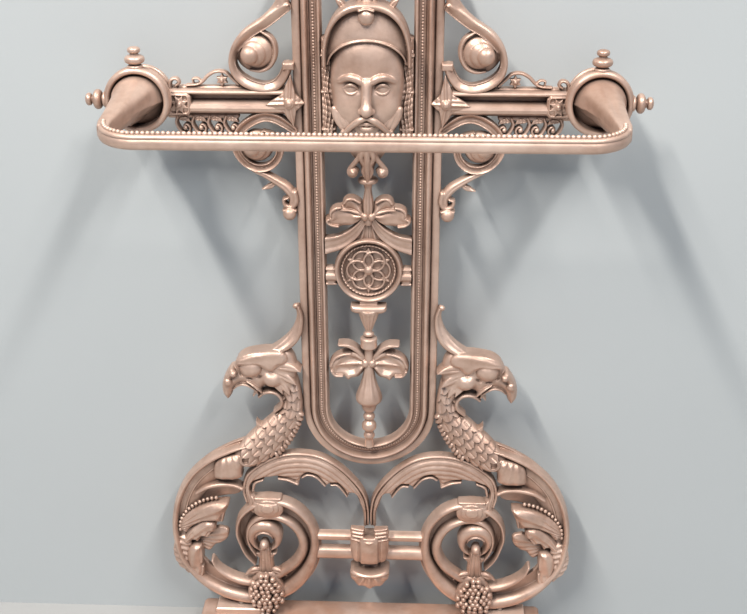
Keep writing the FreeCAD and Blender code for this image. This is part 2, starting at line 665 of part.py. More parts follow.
# ---------------------------------------------------------------- base scrolls
def base_scroll():
    """Large scroll with a raised bead along its outer and its inner edge."""
    body = [(-125, -386, 20), (-148, -398, 24), (-172, -412, 22), (-192, -432, 20),
            (-206, -456, 19), (-212.5, -482, 19), (-213, -508, 19), (-207, -534, 22),
            (-196, -556, 27), (-178, -574, 31), (-155, -584, 32), (-130, -587, 32),
            (-106, -579, 30), (-86, -563, 28), (-72, -541, 26), (-68, -516, 25),
            (-73, -492, 25), (-87, -473, 25), (-107, -464, 22), (-127, -469, 18),
            (-142, -483, 14), (-146.5, -500, 12), (-142, -515, 9), (-134, -522, 6)]
    outer_edge = [(-150, -394, 5), (-176, -408, 5), (-197, -429, 5), (-212, -455, 5),
                  (-219, -482, 5), (-219.5, -509, 5), (-214, -536, 5), (-203, -560, 5),
                  (-184, -580, 6), (-158, -594, 6), (-130, -598.5, 6), (-101, -590, 6),
                  (-77, -571, 6), (-62, -545, 6), (-58, -516, 6), (-63, -488, 6),
                  (-80, -466, 6), (-103, -456, 6), (-128, -462, 6), (-146, -478, 5),
                  (-151, -498, 4)]
    inner_edge = [(-181, -542, 5), (-172, -556, 5), (-155, -568, 6), (-131, -572.5, 6),
                  (-110, -566, 6), (-93, -553, 6), (-82, -536, 6), (-79, -516, 6),
                  (-83, -498, 6), (-93, -484, 6), (-108, -477, 6), (-124, -480, 6),
                  (-136, -491, 5), (-138, -506, 4)]
    return fuse([band(body, 10.0, 18.0, 4), band(outer_edge, 17.5, 27.0, 4),
                 band(inner_edge, 17.5, 26.0, 4)])


def scroll_hook():
    """Hook inside the scroll, with a stalk down to the grapes."""
    hook = [(-103, -514, 4), (-101, -502, 6), (-107, -491, 7), (-119, -487, 7),
            (-130, -493, 7), (-134, -505, 6.5), (-129, -514, 5), (-121, -513, 4)]
    stalk = [(-116, -506), (-114.5, -520), (-113.5, -536), (-113, -551),
             (-125, -551), (-124.5, -536), (-123.5, -520), (-122, -506)]
    return fuse([band(hook, 12.0, 22.0, 4, facets=True),
                 flat_plate(stalk, 14.0, 26.0),
                 *domed_disc(-119, -508, 6.5, 14.0, 26.0, 4.5)])


def acanthus():
    leaves = [
        [(-139, -394), (-152, -395.5), (-166, -401), (-175, -410), (-177, -419),
         (-171, -426), (-160, -427.4), (-149, -424.5), (-141, -418), (-136.5, -407)],
        [(-156, -504), (-166, -498), (-178, -498), (-188, -505), (-194, -513),
         (-189, -520), (-178, -516.5), (-167, -513.5)],
        [(-193, -510.5), (-203, -508), (-213.5, -516), (-216, -532), (-213, -548),
         (-205, -560), (-195.5, -562), (-189.6, -555), (-186.6, -548), (-190, -541),
         (-185.6, -533), (-189.5, -523)],
        [(-173.5, -485), (-184, -484.5), (-197, -492), (-208, -502), (-213.4, -515),
         (-206, -517), (-194.5, -511), (-184, -503.5), (-176, -495)],
        [(-156.5, -455), (-166, -450), (-182, -452), (-198, -461), (-210.5, -475),
         (-216, -491), (-206, -498), (-194, -492), (-182, -485.5), (-171, -481),
         (-163.5, -476), (-158, -466)]]
    return fuse([leaf_plate(leaf, 12.0, 23.0, 2) for leaf in leaves])


def scroll_pearls():
    """String of balls on each scroll, set at the first path point past each spacing."""
    spacing = 6.4
    path = smooth([(-170, -447), (-180, -449), (-190, -453.5), (-199.5, -461),
                   (-208, -472.5), (-213, -486)], 6)
    pearls = []
    passed = 0.0
    for start, end in zip(path, path[1:]):
        passed += math.dist(start, end)
        if passed >= spacing:
            pearls.append(ball(end[0], end[1], 22.0, 2.6))
            passed = 0.0
    return Part.makeCompound(pearls + [mirror(pearl) for pearl in pearls])


def grape_bunch():
    """Rows of balls on a backing plate, hanging inside the scroll."""
    middle, top, spacing, row_pitch = -119, -555, 9.6, 8
    backing = [(-119, -549), (-108, -556), (-100, -570), (-97, -581), (-104, -592),
               (-119, -602), (-134, -592), (-141, -581), (-138, -570), (-130, -556)]
    parts = [leaf_plate(backing, 19.0, 29.0, 2)]
    for row, count in enumerate((2, 3, 4, 5, 4, 3)):
        for k in range(count):
            x = middle + (k - (count - 1) / 2.0) * spacing
            parts.append(ball(x, top - row * row_pitch, 29.6, 4.4))
    return fuse(parts)


# --------------------------------------------------------------- tie and knop
def tie_bars():
    """Two bars on each side, from the knop out to the scroll."""
    return Part.makeCompound([block(side * 57.0, side * 18, low, high, 13.0, 22.5)
                              for side in (-1, 1)
                              for low, high in [(-504.8, -496.4), (-530.2, -516.4)]])


def tie_knop():
    cap = [(-21.5, -495), (21.5, -495), (20.5, -483), (-20.5, -483)]
    knop = turned(24.0, [
        (-493.0, 12.0), (-497.0, 15.5), (-512.0, 17.0), (-526.0, 15.5), (-531.0, 11.0),
        (-533.0, 8.5), (-538.0, 8.5), (-539.5, 12.0), (-542.0, 17.0), (-548.0, 17.8),
        (-555.0, 14.0), (-561.0, 8.0), (-565.0, 5.0), (-568.0, 2.0)])
    shape = fuse([flat_plate(cap, 26.0, 36.0), knop,
                  block(-19.5, 19.5, -530, -496, 10.0, 23.0)])
    return shape.cut(space_behind(10.0, -700))


# ---------------------------------------------------------------- top cresting
def top_palmette():
    """Fan of five petals between two small scrolls."""
    parts = []
    # degrees from upright, length, half width
    for lean, length, half in ((0, 44, 8.5), (26, 38, 7.5), (-26, 38, 7.5),
                               (52, 30, 6.5), (-52, 30, 6.5)):
        angle = math.radians(90 - lean)
        petal = [(0, -2.5), (length * 0.35, -half * 0.75), (length * 0.75, -half),
                 (length, 0), (length * 0.75, half), (length * 0.35, half * 0.75), (0, 2.5)]
        petal = turn_points(petal, 0, 186, math.cos(angle), math.sin(angle))
        parts.append(leaf_plate(petal, 12.0, 21.0, 2))
    parts += domed_disc(0, 187, 9.0, 12.0, 23.0, 5.0)
    parts += [band([(side * 10, 181, 6), (side * 22, 180, 7), (side * 33, 186, 7),
                    (side * 36, 196, 6), (side * 29, 201, 4.5)], 12.0, 20.0)
              for side in (-1, 1)]
    return fuse(parts)


# ---------------------------------------------------------- base and drip tray
# A plan is (width, back depth, front depth, front corner radius, back corner radius).
# Heights in this section are above the floor.
def inset(plan, gap, back_corner=None):
    """Plan drawn in by a gap all round; the back corners may be given."""
    width, back, front, corner, old_back_corner = plan
    if back_corner is None:
        back_corner = old_back_corner - gap
    return (width - 2 * gap, back + gap, front - gap, corner - gap, back_corner)


WELL = (BASE_W - 2 * BASE_WALL - 18, SHELF_D, BASE_D - BASE_WALL - 9, 36, 8.0)
SEAT = (BASE_W - 2 * BASE_WALL + 2, SHELF_D - 6, BASE_D - BASE_WALL + 1, 46, 14.0)
SEAT_Z = BASE_H - 5
BOLT_HEAD_TOP = 8.0


def plan_block(plan, bottom, top):
    """Block with rounded corners."""
    width, back, front, corner, back_corner = plan
    half = width / 2
    bow = corner * (1 - math.sqrt(0.5))
    back_bow = back_corner * (1 - math.sqrt(0.5))

    def at(x, depth):
        return Vec(x, WALL_Y - depth, bottom)

    def line(start, end):
        return Part.makeLine(at(*start), at(*end))

    def arc(start, middle, end):
        return Part.Arc(at(*start), at(*middle), at(*end)).toShape()

    edges = [
        line((-half + back_corner, back), (half - back_corner, back)),
        arc((half - back_corner, back), (half - back_bow, back + back_bow),
            (half, back + back_corner)),
        line((half, back + back_corner), (half, front - corner)),
        arc((half, front - corner), (half - bow, front - bow), (half - corner, front)),
        line((half - corner, front), (-half + corner, front)),
        arc((-half + corner, front), (-half + bow, front - bow), (-half, front - corner)),
        line((-half, front - corner), (-half, back + back_corner)),
        arc((-half, back + back_corner), (-half + back_bow, back + back_bow),
            (-half + back_corner, back))]
    return Part.Face(Part.Wire(edges)).extrude(Vec(0, 0, top - bottom))


def upright_cylinder(radius, x, depth, bottom, top):
    return Part.makeCylinder(radius, top - bottom, Vec(x, WALL_Y - depth, bottom))


def base_tray_stand():
    """Stepped base with a well and seat for the tray, open below, and two bolt holes."""
    base = fuse([plan_block((BASE_W, 0, BASE_D, 58, 4.0), 0, 9),
                 plan_block((BASE_W - 10, 3, BASE_D - 5, 53, 4.0), 9, 14),
                 plan_block((BASE_W - 18, 6, BASE_D - 9, 49, 4.0), 14, 29),
                 plan_block((BASE_W - 8, 2, BASE_D - 4, 54, 4.0), 29, BASE_H)])
    base = base.cut(plan_block(WELL, 8, BASE_H + 5))
    base = base.cut(plan_block(SEAT, SEAT_Z, BASE_H + 5))
    base = base.cut(plan_block(inset(WELL, 8, back_corner=6.0), -1, 9))
    for x in (-BOLT_X, BOLT_X):
        base = base.cut(upright_cylinder(4.2, x, BOLT_DEPTH, -1, BASE_H + 1))
        base = base.cut(upright_cylinder(11.0, x, BOLT_DEPTH, -1, BOLT_HEAD_TOP))
    return base


def drip_tray():
    """Tray with a raised rim on the seat and ribs across its floor."""
    body = inset(WELL, TRAY_GAP)
    rim = inset(SEAT, TRAY_GAP)
    tray = fuse([plan_block(body, 10, SEAT_Z), plan_block(rim, SEAT_Z, BASE_H - 2)])
    tray = tray.cut(plan_block(inset(body, 3.5, back_corner=3.0), 13.5, BASE_H))
    lip = plan_block(rim, BASE_H - 2.5, BASE_H + 1.5).cut(
        plan_block(inset(rim, 3), BASE_H - 5, BASE_H + 5))
    tray = tray.fuse([lip]).removeSplitter()
    rib_back, rib_front = SHELF_D + 13, WELL[2] - 18
    ribs = [Part.makeBox(3.0, rib_front - rib_back, 1.6, Vec(x - 1.5, WALL_Y - rib_front, 13.0))
            for x in range(-120, 121, 40)]
    return tray.fuse(ribs).removeSplitter()


def scroll_foot():
    """Stepped block on the rear shelf, bored for its bolt."""
    foot = fuse([Part.makeBox(56, 26, 9, Vec(-BOLT_X - 28, WALL_Y - 34, BASE_H)),
                 Part.makeBox(44, 14, 20, Vec(-BOLT_X - 22, WALL_Y - 24, BASE_H + 8))])
    return foot.cut(upright_cylinder(3.6, -BOLT_X, BOLT_DEPTH, BASE_H - 1, BASE_H + 21))


def base_bolts():
    """Hexagon bolts up through the base into the feet."""
    bolts = []
    for x in (-BOLT_X, BOLT_X):
        corners = [Vec(x + u, WALL_Y - BOLT_DEPTH + v, 2.0) for u, v in hexagon_points(14.0)]
        head = closed_face(corners).extrude(Vec(0, 0, BOLT_HEAD_TOP - 2.0))
        shank = upright_cylinder(3.5, x, BOLT_DEPTH, BOLT_HEAD_TOP, 50.0)
        bolts.append(head.fuse(shank).removeSplitter())
    return Part.makeCompound(bolts)


# ------------------------------------------------------------------ fit pieces
def fit(shape, earlier):
    """Cut a piece back to the earlier ones near it and drop small scraps."""
    tools = [other for other in earlier if other.BoundBox.intersect(shape.BoundBox)]
    if tools:
        shape = shape.cut(tools)
    solids = sorted(shape.Solids, key=lambda solid: -solid.Volume)
    solids = [solid for solid in solids if solid.Volume > PETTY_SOLID * solids[0].Volume]
    return solids[0] if len(solids) == 1 else Part.makeCompound(solids)


rail = stick_rail()
collars = rail_collars(rail)
arch = leaf_arch()
volutes = both(arch_volute(arch))

# In fitting order: an earlier piece keeps its metal and a later one is cut back to it.
pieces = [
    ("upright_frame", upright_frame()),
    *pair("rail_boss", rail_boss()),
    ("stick_rail", rail),
    ("rail_collars", collars),
    ("rail_washers", both(rail_washer())),
    ("rail_nuts", both(rail_nut())),
    ("arm_stars", both(arm_star())),
    *pair("boss_rosette", boss_rosette()),
    ("boss_finials", boss_finials()),
    ("base_tray_stand", base_tray_stand()),
    ("drip_tray", drip_tray()),
    ("base_bolts", base_bolts()),
    *pair("scroll_foot", scroll_foot()),
    *pair("grape_bunch", grape_bunch()),
    *pair("scroll_hook", scroll_hook()),
    ("scroll_pearls", scroll_pearls()),
    ("tie_knop", tie_knop()),
    ("arch_volutes", volutes),
    *pair("griffin", griffin()),
    *pair("base_scroll", base_scroll()),
    ("tie_bars", tie_bars()),
    *pair("leaf_arch", arch),
    *pair("acanthus", acanthus()),
    *pair("upper_scroll", upper_scroll()),
    *pair("lower_bracket", lower_bracket()),
    *pair("arm_cresting", arm_cresting()),
    *pair("cross_arm", cross_arm()),
    *pair("arm_fret", arm_fret()),
    ("mask_face", mask_face()),
    ("mask_beard", mask_beard()),
    ("mask_hood", mask_hood()),
    *pair("mask_lappet", mask_lappet()),
    ("medallion", medallion()),
    ("medallion_lugs", both(medallion_lug())),
    ("medallion_pendant", medallion_pendant()),
    ("pendant_block", pendant_block()),
    ("pendant_baluster", pendant_baluster()),
    ("pendant_stem", pendant_stem()),
    ("upper_leaf_spray", both(upper_leaf())),
    ("lower_leaf_spray", both(lower_leaf())),
    ("medallion_ribbons", both(medallion_ribbon())),
    ("top_palmette", top_palmette()),
]

os.makedirs("parts", exist_ok=True)
fitted = []
for name, shape in pieces:
    shape = fit(shape, fitted)
    fitted.append(shape)
    shape.exportStep("parts/%s.step" % name)
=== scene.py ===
"""A cast iron stick stand: an openwork back with a mask, griffins and leaf scrolls, a rail that
loops forward from two bosses, and a base holding a loose drip tray.

The frame is in metres, +Z up, +Y to the wall and -X on the left seen from the front.
Ornament is laid out in millimetres: x across, z from the boss axis, d out from the wall plane.
"""
import math

import bpy
import bmesh
import numpy as np
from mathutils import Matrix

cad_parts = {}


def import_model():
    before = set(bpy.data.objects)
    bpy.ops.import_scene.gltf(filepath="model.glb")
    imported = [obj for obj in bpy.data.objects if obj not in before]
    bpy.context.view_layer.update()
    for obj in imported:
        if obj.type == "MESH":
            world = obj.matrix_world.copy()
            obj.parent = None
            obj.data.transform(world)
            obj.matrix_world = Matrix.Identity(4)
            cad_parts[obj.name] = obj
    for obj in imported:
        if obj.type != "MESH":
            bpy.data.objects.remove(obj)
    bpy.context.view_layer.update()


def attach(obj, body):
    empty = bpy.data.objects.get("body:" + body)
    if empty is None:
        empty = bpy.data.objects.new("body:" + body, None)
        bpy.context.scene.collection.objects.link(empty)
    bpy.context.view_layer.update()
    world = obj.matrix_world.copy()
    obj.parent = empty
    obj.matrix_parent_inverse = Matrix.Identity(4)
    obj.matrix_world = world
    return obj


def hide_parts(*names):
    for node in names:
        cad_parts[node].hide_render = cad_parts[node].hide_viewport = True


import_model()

import openvdb as vdb
from mathutils import Matrix, Vector

# ------------------------------------------------------------------ set-out
BOSS_HEIGHT = 0.645   # metres above the floor, the zero of z
WALL_Y = 0.095        # metres, the zero of d
VOXEL = 0.62
BOSS_X = 215
FIELD_LIMIT = 6.0     # furthest distance a casting's field keeps


def world(x, z, d):
    """Scene place of a point, or of arrays of points, in the ornament's millimetres."""
    return x / 1000, WALL_Y - d / 1000, BOSS_HEIGHT + z / 1000


def on_floor(x, d, z):
    """Scene place of a point whose z is in millimetres above the floor."""
    return x / 1000, WALL_Y - d / 1000, z / 1000


def table(text):
    """Rows of numbers from text with commas between rows; anything else is passed on."""
    if not isinstance(text, str):
        return text
    return [tuple(float(number) for number in row.split()) for row in text.split(",")]


def flip(text, side):
    """A table with its first column, x, multiplied by side."""
    return [(side * x, *rest) for x, *rest in table(text)]


def symmetric(text, centre=0):
    """Closed outline from its right side, mirrored about x = centre."""
    right = table(text)
    return right + [(2 * centre - x, z) for x, z in reversed(right) if x != centre]


def smooth_path(path, steps=8, closed=False):
    """Catmull-Rom curve through the points, with so many steps to each span."""
    P = np.array(table(path), float)
    count = len(P)
    curve = []
    for i in range(count if closed else count - 1):
        if closed:
            before, start, end, after = (P[(i + j) % count] for j in (-1, 0, 1, 2))
        else:
            start, end = P[i], P[i + 1]
            before = P[i - 1] if i > 0 else 2 * start - end
            after = P[i + 2] if i + 2 < count else 2 * end - start
        t = (np.arange(steps) / steps)[:, None]
        curve.append(0.5 * (2 * start + (end - before) * t
                            + (2 * before - 5 * start + 4 * end - after) * t ** 2
                            + (3 * start - before - 3 * end + after) * t ** 3))
    if not closed:
        curve.append(P[-1:])
    return np.concatenate(curve)


def spaced(points, pitch):
    """Pairs of neighbouring points, one pair each time about a pitch has been walked."""
    walked = 0.0
    for a, b in zip(points, points[1:]):
        walked += math.dist(a, b)
        if walked >= pitch:
            yield a, b
            walked = 0.0


def unit(value):
    return np.clip(value, 0, 1)


def root(value):
    return np.sqrt(unit(value))


def soft_min(a, b, blend):
    h = np.clip(blend - np.abs(a - b), 0, None)
    return np.minimum(a, b) - h * h / (4 * blend)


def soft_max(a, b, blend):
    return -soft_min(-a, -b, blend)


def outline_distance(P, X, Z):
    """Signed distance to a closed polygon, negative inside."""
    best = np.full(X.shape, 1e9)
    inside = np.zeros(X.shape, bool)
    for i in range(len(P)):
        a, b = P[i], P[(i + 1) % len(P)]
        ex, ez = b[0] - a[0], b[1] - a[1]
        square = ex * ex + ez * ez
        if square < 1e-12:
            continue
        x, z = X - a[0], Z - a[1]
        t = unit((x * ex + z * ez) / square)
        best = np.minimum(best, (x - t * ex) ** 2 + (z - t * ez) ** 2)
        if abs(ez) > 1e-12:
            inside ^= ((a[1] > Z) != (b[1] > Z)) & (X < ex * (Z - a[1]) / ez + a[0])
    distance = np.sqrt(best)
    return np.where(inside, -distance, distance)


# ------------------------------------------------------- modelling a casting
class Cast:
    """A casting worked out on a grid of (x, z, d) as a distance-like field F.

    Each shape has a flat back at depth back; blend is how far it flows into the rest.
    """

    def __init__(self, x0, x1, z0, z1, d0, d1, voxel=VOXEL):
        self.voxel = voxel
        self.x, self.z, self.d = (np.arange(low - 2 * voxel, high + 3 * voxel, voxel)
                                  for low, high in ((x0, x1), (z0, z1), (d0, d1)))
        self.d = self.d.astype(np.float32)
        shape = (len(self.x), len(self.z), len(self.d))
        self.F = np.full(shape, FIELD_LIMIT, np.float32)

    def window(self, xs, zs, reach):
        """Grid slices in x and z that cover the given places and a reach around them."""
        def span(axis, values):
            low = max(int(np.searchsorted(axis, np.min(values) - reach)) - 1, 0)
            high = min(int(np.searchsorted(axis, np.max(values) + reach)) + 1, len(axis))
            return slice(low, max(high, low))
        return span(self.x, xs), span(self.z, zs)

    def grid(self, window):
        return np.meshgrid(self.x[window[0]], self.z[window[1]], indexing="ij")

    def merge(self, window, field, blend):
        self.F[window] = soft_min(self.F[window], field.astype(np.float32), blend)

    def relief(self, window, plan, front, back, edge=1.2, blend=0.8):
        """Plate with a plan (mm, negative inside) and front heights; edge rounds its rim."""
        d = self.d[None, None, :]
        field = soft_max(plan[:, :, None].astype(np.float32),
                         d - front[:, :, None].astype(np.float32), edge)
        self.merge(window, np.maximum(field, back - d), blend)

    def stroke_fields(self, path, steps=8):
        """Distance, signed offset, length along and width near a path of (x, z, width)."""
        path = table(path)
        pts = smooth_path(path, steps) if len(path) > 2 else np.array(path, float)
        reach = pts[:, 2].max() / 2 + 4
        window = self.window(pts[:, 0], pts[:, 1], reach)
        X, Z = self.grid(window)
        best = np.full(X.shape, 60.0)
        offset, along, width = np.zeros(X.shape), np.zeros(X.shape), np.ones(X.shape)
        walked = 0.0
        for a, b in zip(pts[:-1], pts[1:]):
            length = math.hypot(b[0] - a[0], b[1] - a[1])
            if length < 1e-9:
                continue
            near = self.window((a[0], b[0]), (a[1], b[1]), reach)
            part = tuple(slice(n.start - w.start, n.stop - w.start)
                         for n, w in zip(near, window))
            x, z = X[part] - a[0], Z[part] - a[1]
            tx, tz = (b[0] - a[0]) / length, (b[1] - a[1]) / length
            t = np.clip(x * tx + z * tz, 0, length)
            distance = np.hypot(x - t * tx, z - t * tz)
            nearer = distance < best[part]
            for field, value in ((best, distance),
                                 (offset, distance * np.sign(tx * z - tz * x)),
                                 (along, walked + t),
                                 (width, a[2] + (b[2] - a[2]) * t / length)):
                field[part] = np.where(nearer, value, field[part])
            walked += length
        return window, best, offset, along, width, walked

    def strap(self, path, back, base, rise, blend=0.8, profile="round", edge=1.0, groove=0.0,
              steps=8):
        """Strap along a path of (x, z, width), rising from height base, which may be a list.

        profile is a name or a table of (offset over half width, share of the rise).
        """
        window, distance, offset, along, width, length = self.stroke_fields(path, steps)
        t = np.clip(distance / (width / 2), 0, 1.2)
        if isinstance(base, list):
            base = np.interp(along / length, np.linspace(0, 1, len(base)), base)
        if profile == "round":
            h = root(1 - t * t)
        elif profile == "hollow":
            h = 0.45 + 0.55 * unit(t) ** 2
        elif profile == "dull":
            h = 1 - 0.55 * t ** 2
        else:
            h = np.interp(offset / (width / 2), *zip(*table(profile)))
        front = base + rise * h
        if groove:
            front = front - groove * np.exp(-(offset / 0.9) ** 2)
        self.relief(window, distance - width / 2, front, back, edge, blend)

    def leaf(self, start, tip, bow, width, back, height, rise, lobes=4, blend=0.5, vein=1.1,
             notch=0.16, flute=0.9, curl=0.0):
        """Pointed leaf; bow bends its rib, notch scallops its edge, curl lifts its tip."""
        (bx, bz), (tx, tz) = start, tip
        length = math.hypot(tx - bx, tz - bz)
        nx, nz = -(tz - bz) / length, (tx - bx) / length
        steps = 26
        pts = []
        for i in range(steps + 1):
            s = i / steps
            o = bow * 4 * s * (1 - s)
            wide = width * (math.sin(math.pi * min(s * 0.92 + 0.10, 1.0)) ** 0.75)
            wide *= 1.0 - 0.25 * s
            wide *= 1 + notch * math.cos(2 * math.pi * lobes * s)
            pts.append((bx + (tx - bx) * s + nx * o, bz + (tz - bz) * s + nz * o,
                        max(wide, 0.8)))
        window, distance, offset, along, local, total = self.stroke_fields(pts, 1)
        t = np.clip(distance / (local / 2), 0, 1.2)
        s = along / total
        front = height + rise * (0.35 + 0.65 * root(1 - t * t)) + curl * (s - 0.35)
        front = front - vein * np.exp(-(offset / 0.85) ** 2) * unit(1.1 - s)
        ripple = np.cos(2 * math.pi * (lobes * s - 0.55 * t * lobes / 3))
        front = front + flute * ripple * unit(t * 1.4) * (1 - 0.4 * s)
        self.relief(window, distance - local / 2, front, back, 0.8, blend)

    def petal(self, *shape, flute=0.0, **more):
        """Leaf with a plain edge."""
        self.leaf(*shape, lobes=1, notch=0, flute=flute, **more)

    def flower(self, x, z, reach, count, width, back, height, rise, **more):
        for k in range(count):
            a = math.radians(360 / count * (k + 0.5))
            tip = (x + reach * math.cos(a), z + reach * math.sin(a))
            self.petal((x, z), tip, 0, width, back, height, rise, **more)

    def button(self, x, z, radius, back, face, rise, blend=0.6, edge=1.0, ring=0.0, petals=0):
        window = self.window(x, z, radius + 4)
        X, Z = self.grid(window)
        distance = np.hypot(X - x, Z - z)
        t = unit(distance / radius)
        front = face + rise * root(1 - t * t)
        if ring:
            front = front - ring * np.exp(-((t - 0.62) / 0.09) ** 2)
        if petals:
            a = np.arctan2(Z - z, X - x)
            front = front + 0.8 * np.cos(petals * a) * unit(t * (1.25 - t) * 3)
        self.relief(window, distance - radius, front, back, edge, blend)

    def shells(self, text):
        """Lapping round shells, rows of (x, z, radius, face, rise)."""
        for x, z, radius, face, rise in table(text):
            self.button(x, z, radius, 11, face, rise, 0.2, edge=1.4)

    def plate(self, outline, back, front, edge=0.8, blend=0.4, smooth=0):
        """Plate inside an outline; front is a height or a function of (X, Z, plan)."""
        outline = table(outline)
        P = smooth_path(outline, smooth, True) if smooth else np.array(outline, float)
        window = self.window(P[:, 0], P[:, 1], 4)
        X, Z = self.grid(window)
        plan = outline_distance(P, X, Z)
        heights = front(X, Z, plan) if callable(front) else np.full(X.shape, float(front))
        self.relief(window, plan, heights, back, edge, blend)

    def ellipsoid(self, x, z, d, rx, rz, rd, blend, turn):
        window = self.window(x, z, max(rx, rz) + blend + 3)
        X, Z = self.grid(window)
        c, s = math.cos(math.radians(turn)), math.sin(math.radians(turn))
        a = ((X - x) * c + (Z - z) * s) / rx
        b = (-(X - x) * s + (Z - z) * c) / rz
        e = (self.d[None, None, :] - d) / rd
        return window, (np.sqrt((a * a + b * b)[:, :, None] + e * e) - 1) * min(rx, rz, rd)

    def egg(self, x, z, d, rx, rz, rd, blend=1.5, turn=0.0):
        """Adds an ellipsoid, turned by so many degrees in the plane of the back."""
        self.merge(*self.ellipsoid(x, z, d, rx, rz, rd, blend, turn), blend)

    def dig(self, x, z, d, rx, rz, rd, blend=1.5, turn=0.0):
        """Hollows out an ellipsoid."""
        window, field = self.ellipsoid(x, z, d, rx, rz, rd, blend, turn)
        self.F[window] = soft_max(self.F[window], -field.astype(np.float32), blend)

    def rod(self, path, blend=1.0, steps=6):
        """Round rod in space along a path of (x, z, d, radius)."""
        path = table(path)
        pts = smooth_path(path, steps) if len(path) > 2 else np.array(path, float)
        for a, b in zip(pts[:-1], pts[1:]):
            window = self.window((a[0], b[0]), (a[1], b[1]), max(a[3], b[3]) + blend + 3)
            X, Z = self.grid(window)
            v = b[:3] - a[:3]
            square = float(v @ v) + 1e-9
            d = self.d[None, None, :] - a[2]
            x, z = (X - a[0])[:, :, None], (Z - a[1])[:, :, None]
            t = unit((x * v[0] + z * v[1] + d * v[2]) / square)
            distance = np.sqrt((x - t * v[0]) ** 2 + (z - t * v[1]) ** 2 + (d - t * v[2]) ** 2)
            self.merge(window, distance - (a[3] + (b[3] - a[3]) * t), blend)

    def trim(self, back=None, left=None, right=None):
        """Cuts away all behind back, left of left and right of right."""
        if back is not None:
            self.F = np.maximum(self.F, (back - self.d)[None, None, :].astype(np.float32))
        if left is not None:
            self.F = np.maximum(self.F, (left - self.x)[:, None, None].astype(np.float32))
        if right is not None:
            self.F = np.maximum(self.F, (self.x - right)[:, None, None].astype(np.float32))

    def mesh(self, adapt=0.02):
        field = np.clip(self.F, -FIELD_LIMIT, FIELD_LIMIT).astype(np.float32)
        grid = vdb.FloatGrid(FIELD_LIMIT)
        grid.copyFromArray(np.ascontiguousarray(field))
        points, triangles, quads = grid.convertToPolygons(0.0, adapt)
        x, z, d = (axis[0] + points[:, i] * self.voxel
                   for i, axis in enumerate((self.x, self.z, self.d)))
        faces = [tuple(int(i) for i in f) for part in (triangles, quads) for f in part]
        return np.stack(world(x, z, d), -1), faces


# Front heights for plates, as functions of (X, Z, plan).
def puff(face, rise, reach):
    """Swells from the edge to full height a reach inside it."""
    return lambda X, Z, plan: face + rise * root(1 - (1 - unit(-plan / reach)) ** 2)


def fan_front(face, rise, reach, x_root, z_root, ribs, count, dish):
    """Leaf face with flutes spreading from its root and a dished middle."""
    def front(X, Z, plan):
        a = np.arctan2(Z - z_root, -(X - x_root))
        return (puff(face, rise, reach)(X, Z, plan) + ribs * np.cos(a * count) * unit(-plan / 2)
                - dish * unit((-plan - reach) / 4))
    return front


def curled(face, rise, reach, tip, lift, span, ribs, origin, count):
    """Leaf face that lifts towards its tip, with ribs spreading from an origin."""
    def front(X, Z, plan):
        away = np.hypot(X - tip[0], Z - tip[1])
        h = puff(face, rise, reach)(X, Z, plan) + lift * unit(1 - away / span) ** 0.7
        a = np.arctan2(Z - origin[1], X - origin[0])
        return h + ribs * np.cos(a * count * 2 * math.pi / 1.6) * unit(-plan / 3)
    return front


# ------------------------------------------------------------ mesh helpers
# A mesh is a pair of points and faces.
MATERIALS = {}
STEEL = dict(material="steel", slot="fixing_steel", angle=30)


def to_object(name, mesh, material, angle=None):
    verts, faces = mesh
    me = bpy.data.meshes.new(name)
    me.from_pydata([tuple(v) for v in verts], [], faces)
    me.validate()
    bm = bmesh.new()
    bm.from_mesh(me)
    bmesh.ops.recalc_face_normals(bm, faces=bm.faces)
    loose = [v for v in bm.verts if not v.link_faces]
    if loose:
        bmesh.ops.delete(bm, geom=loose, context="VERTS")
    bm.to_mesh(me)
    bm.free()
    shade_smooth(me, angle)
    ob = bpy.data.objects.new(name, me)
    bpy.context.scene.collection.objects.link(ob)
    me.materials.append(MATERIALS[material])
    return ob


def shade_smooth(me, angle):
    """Smooth shading, with edges over the angle in degrees kept sharp."""
    me.polygons.foreach_set("use_smooth", [True] * len(me.polygons))
    if angle is not None:
        me.set_sharp_from_angle(angle=math.radians(angle))


def mirrored(mesh):
    verts = np.array(mesh[0], float)
    verts[:, 0] *= -1
    return verts, [tuple(reversed(f)) for f in mesh[1]]


def joined(parts):
    verts, faces, start = [], [], 0
    for points, part_faces in parts:
        verts.append(np.array(points, float))
        faces += [tuple(i + start for i in f) for f in part_faces]
        start += len(points)
    return np.concatenate(verts), faces


def place(node, mesh, material="bronze", slot="bronze_paint", body="stand", angle=None):
    ob = to_object("v_" + node, mesh, material, angle)
    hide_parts(node)
    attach(ob, body)
    return ob


def place_pair(node, mesh, **look):
    """The left piece and its mirror image, as two objects."""
    place(node + "_left", mesh, **look)
    place(node + "_right", mirrored(mesh), **look)


def place_group(node, mesh, **look):
    """The left piece and its mirror image, as one object."""
    place(node, joined([mesh, mirrored(mesh)]), **look)


def skin(rings, upright=False, closed=False):
    """Tube through rings of points; upright rings take the other face order."""
    count, n = len(rings), len(rings[0])
    faces = []
    for i in range(count if closed else count - 1):
        p, q = i * n, (i + 1) % count * n
        for k in range(n):
            e = (k + 1) % n
            faces.append((p + k, p + e, q + e, q + k) if upright
                         else (p + k, q + k, q + e, p + e))
    return [np.array(point) for ring in rings for point in ring], faces


def fanned(rings, upright=False):
    """Tube with each end closed by a fan about a centre point."""
    verts, faces = skin(rings, upright)
    n = len(rings[0])
    for start in (0, len(verts) - n):
        verts.append(np.mean(verts[start:start + n], axis=0))
        faces += [(start + k, start + (k + 1) % n, len(verts) - 1) for k in range(n)]
    return verts, faces


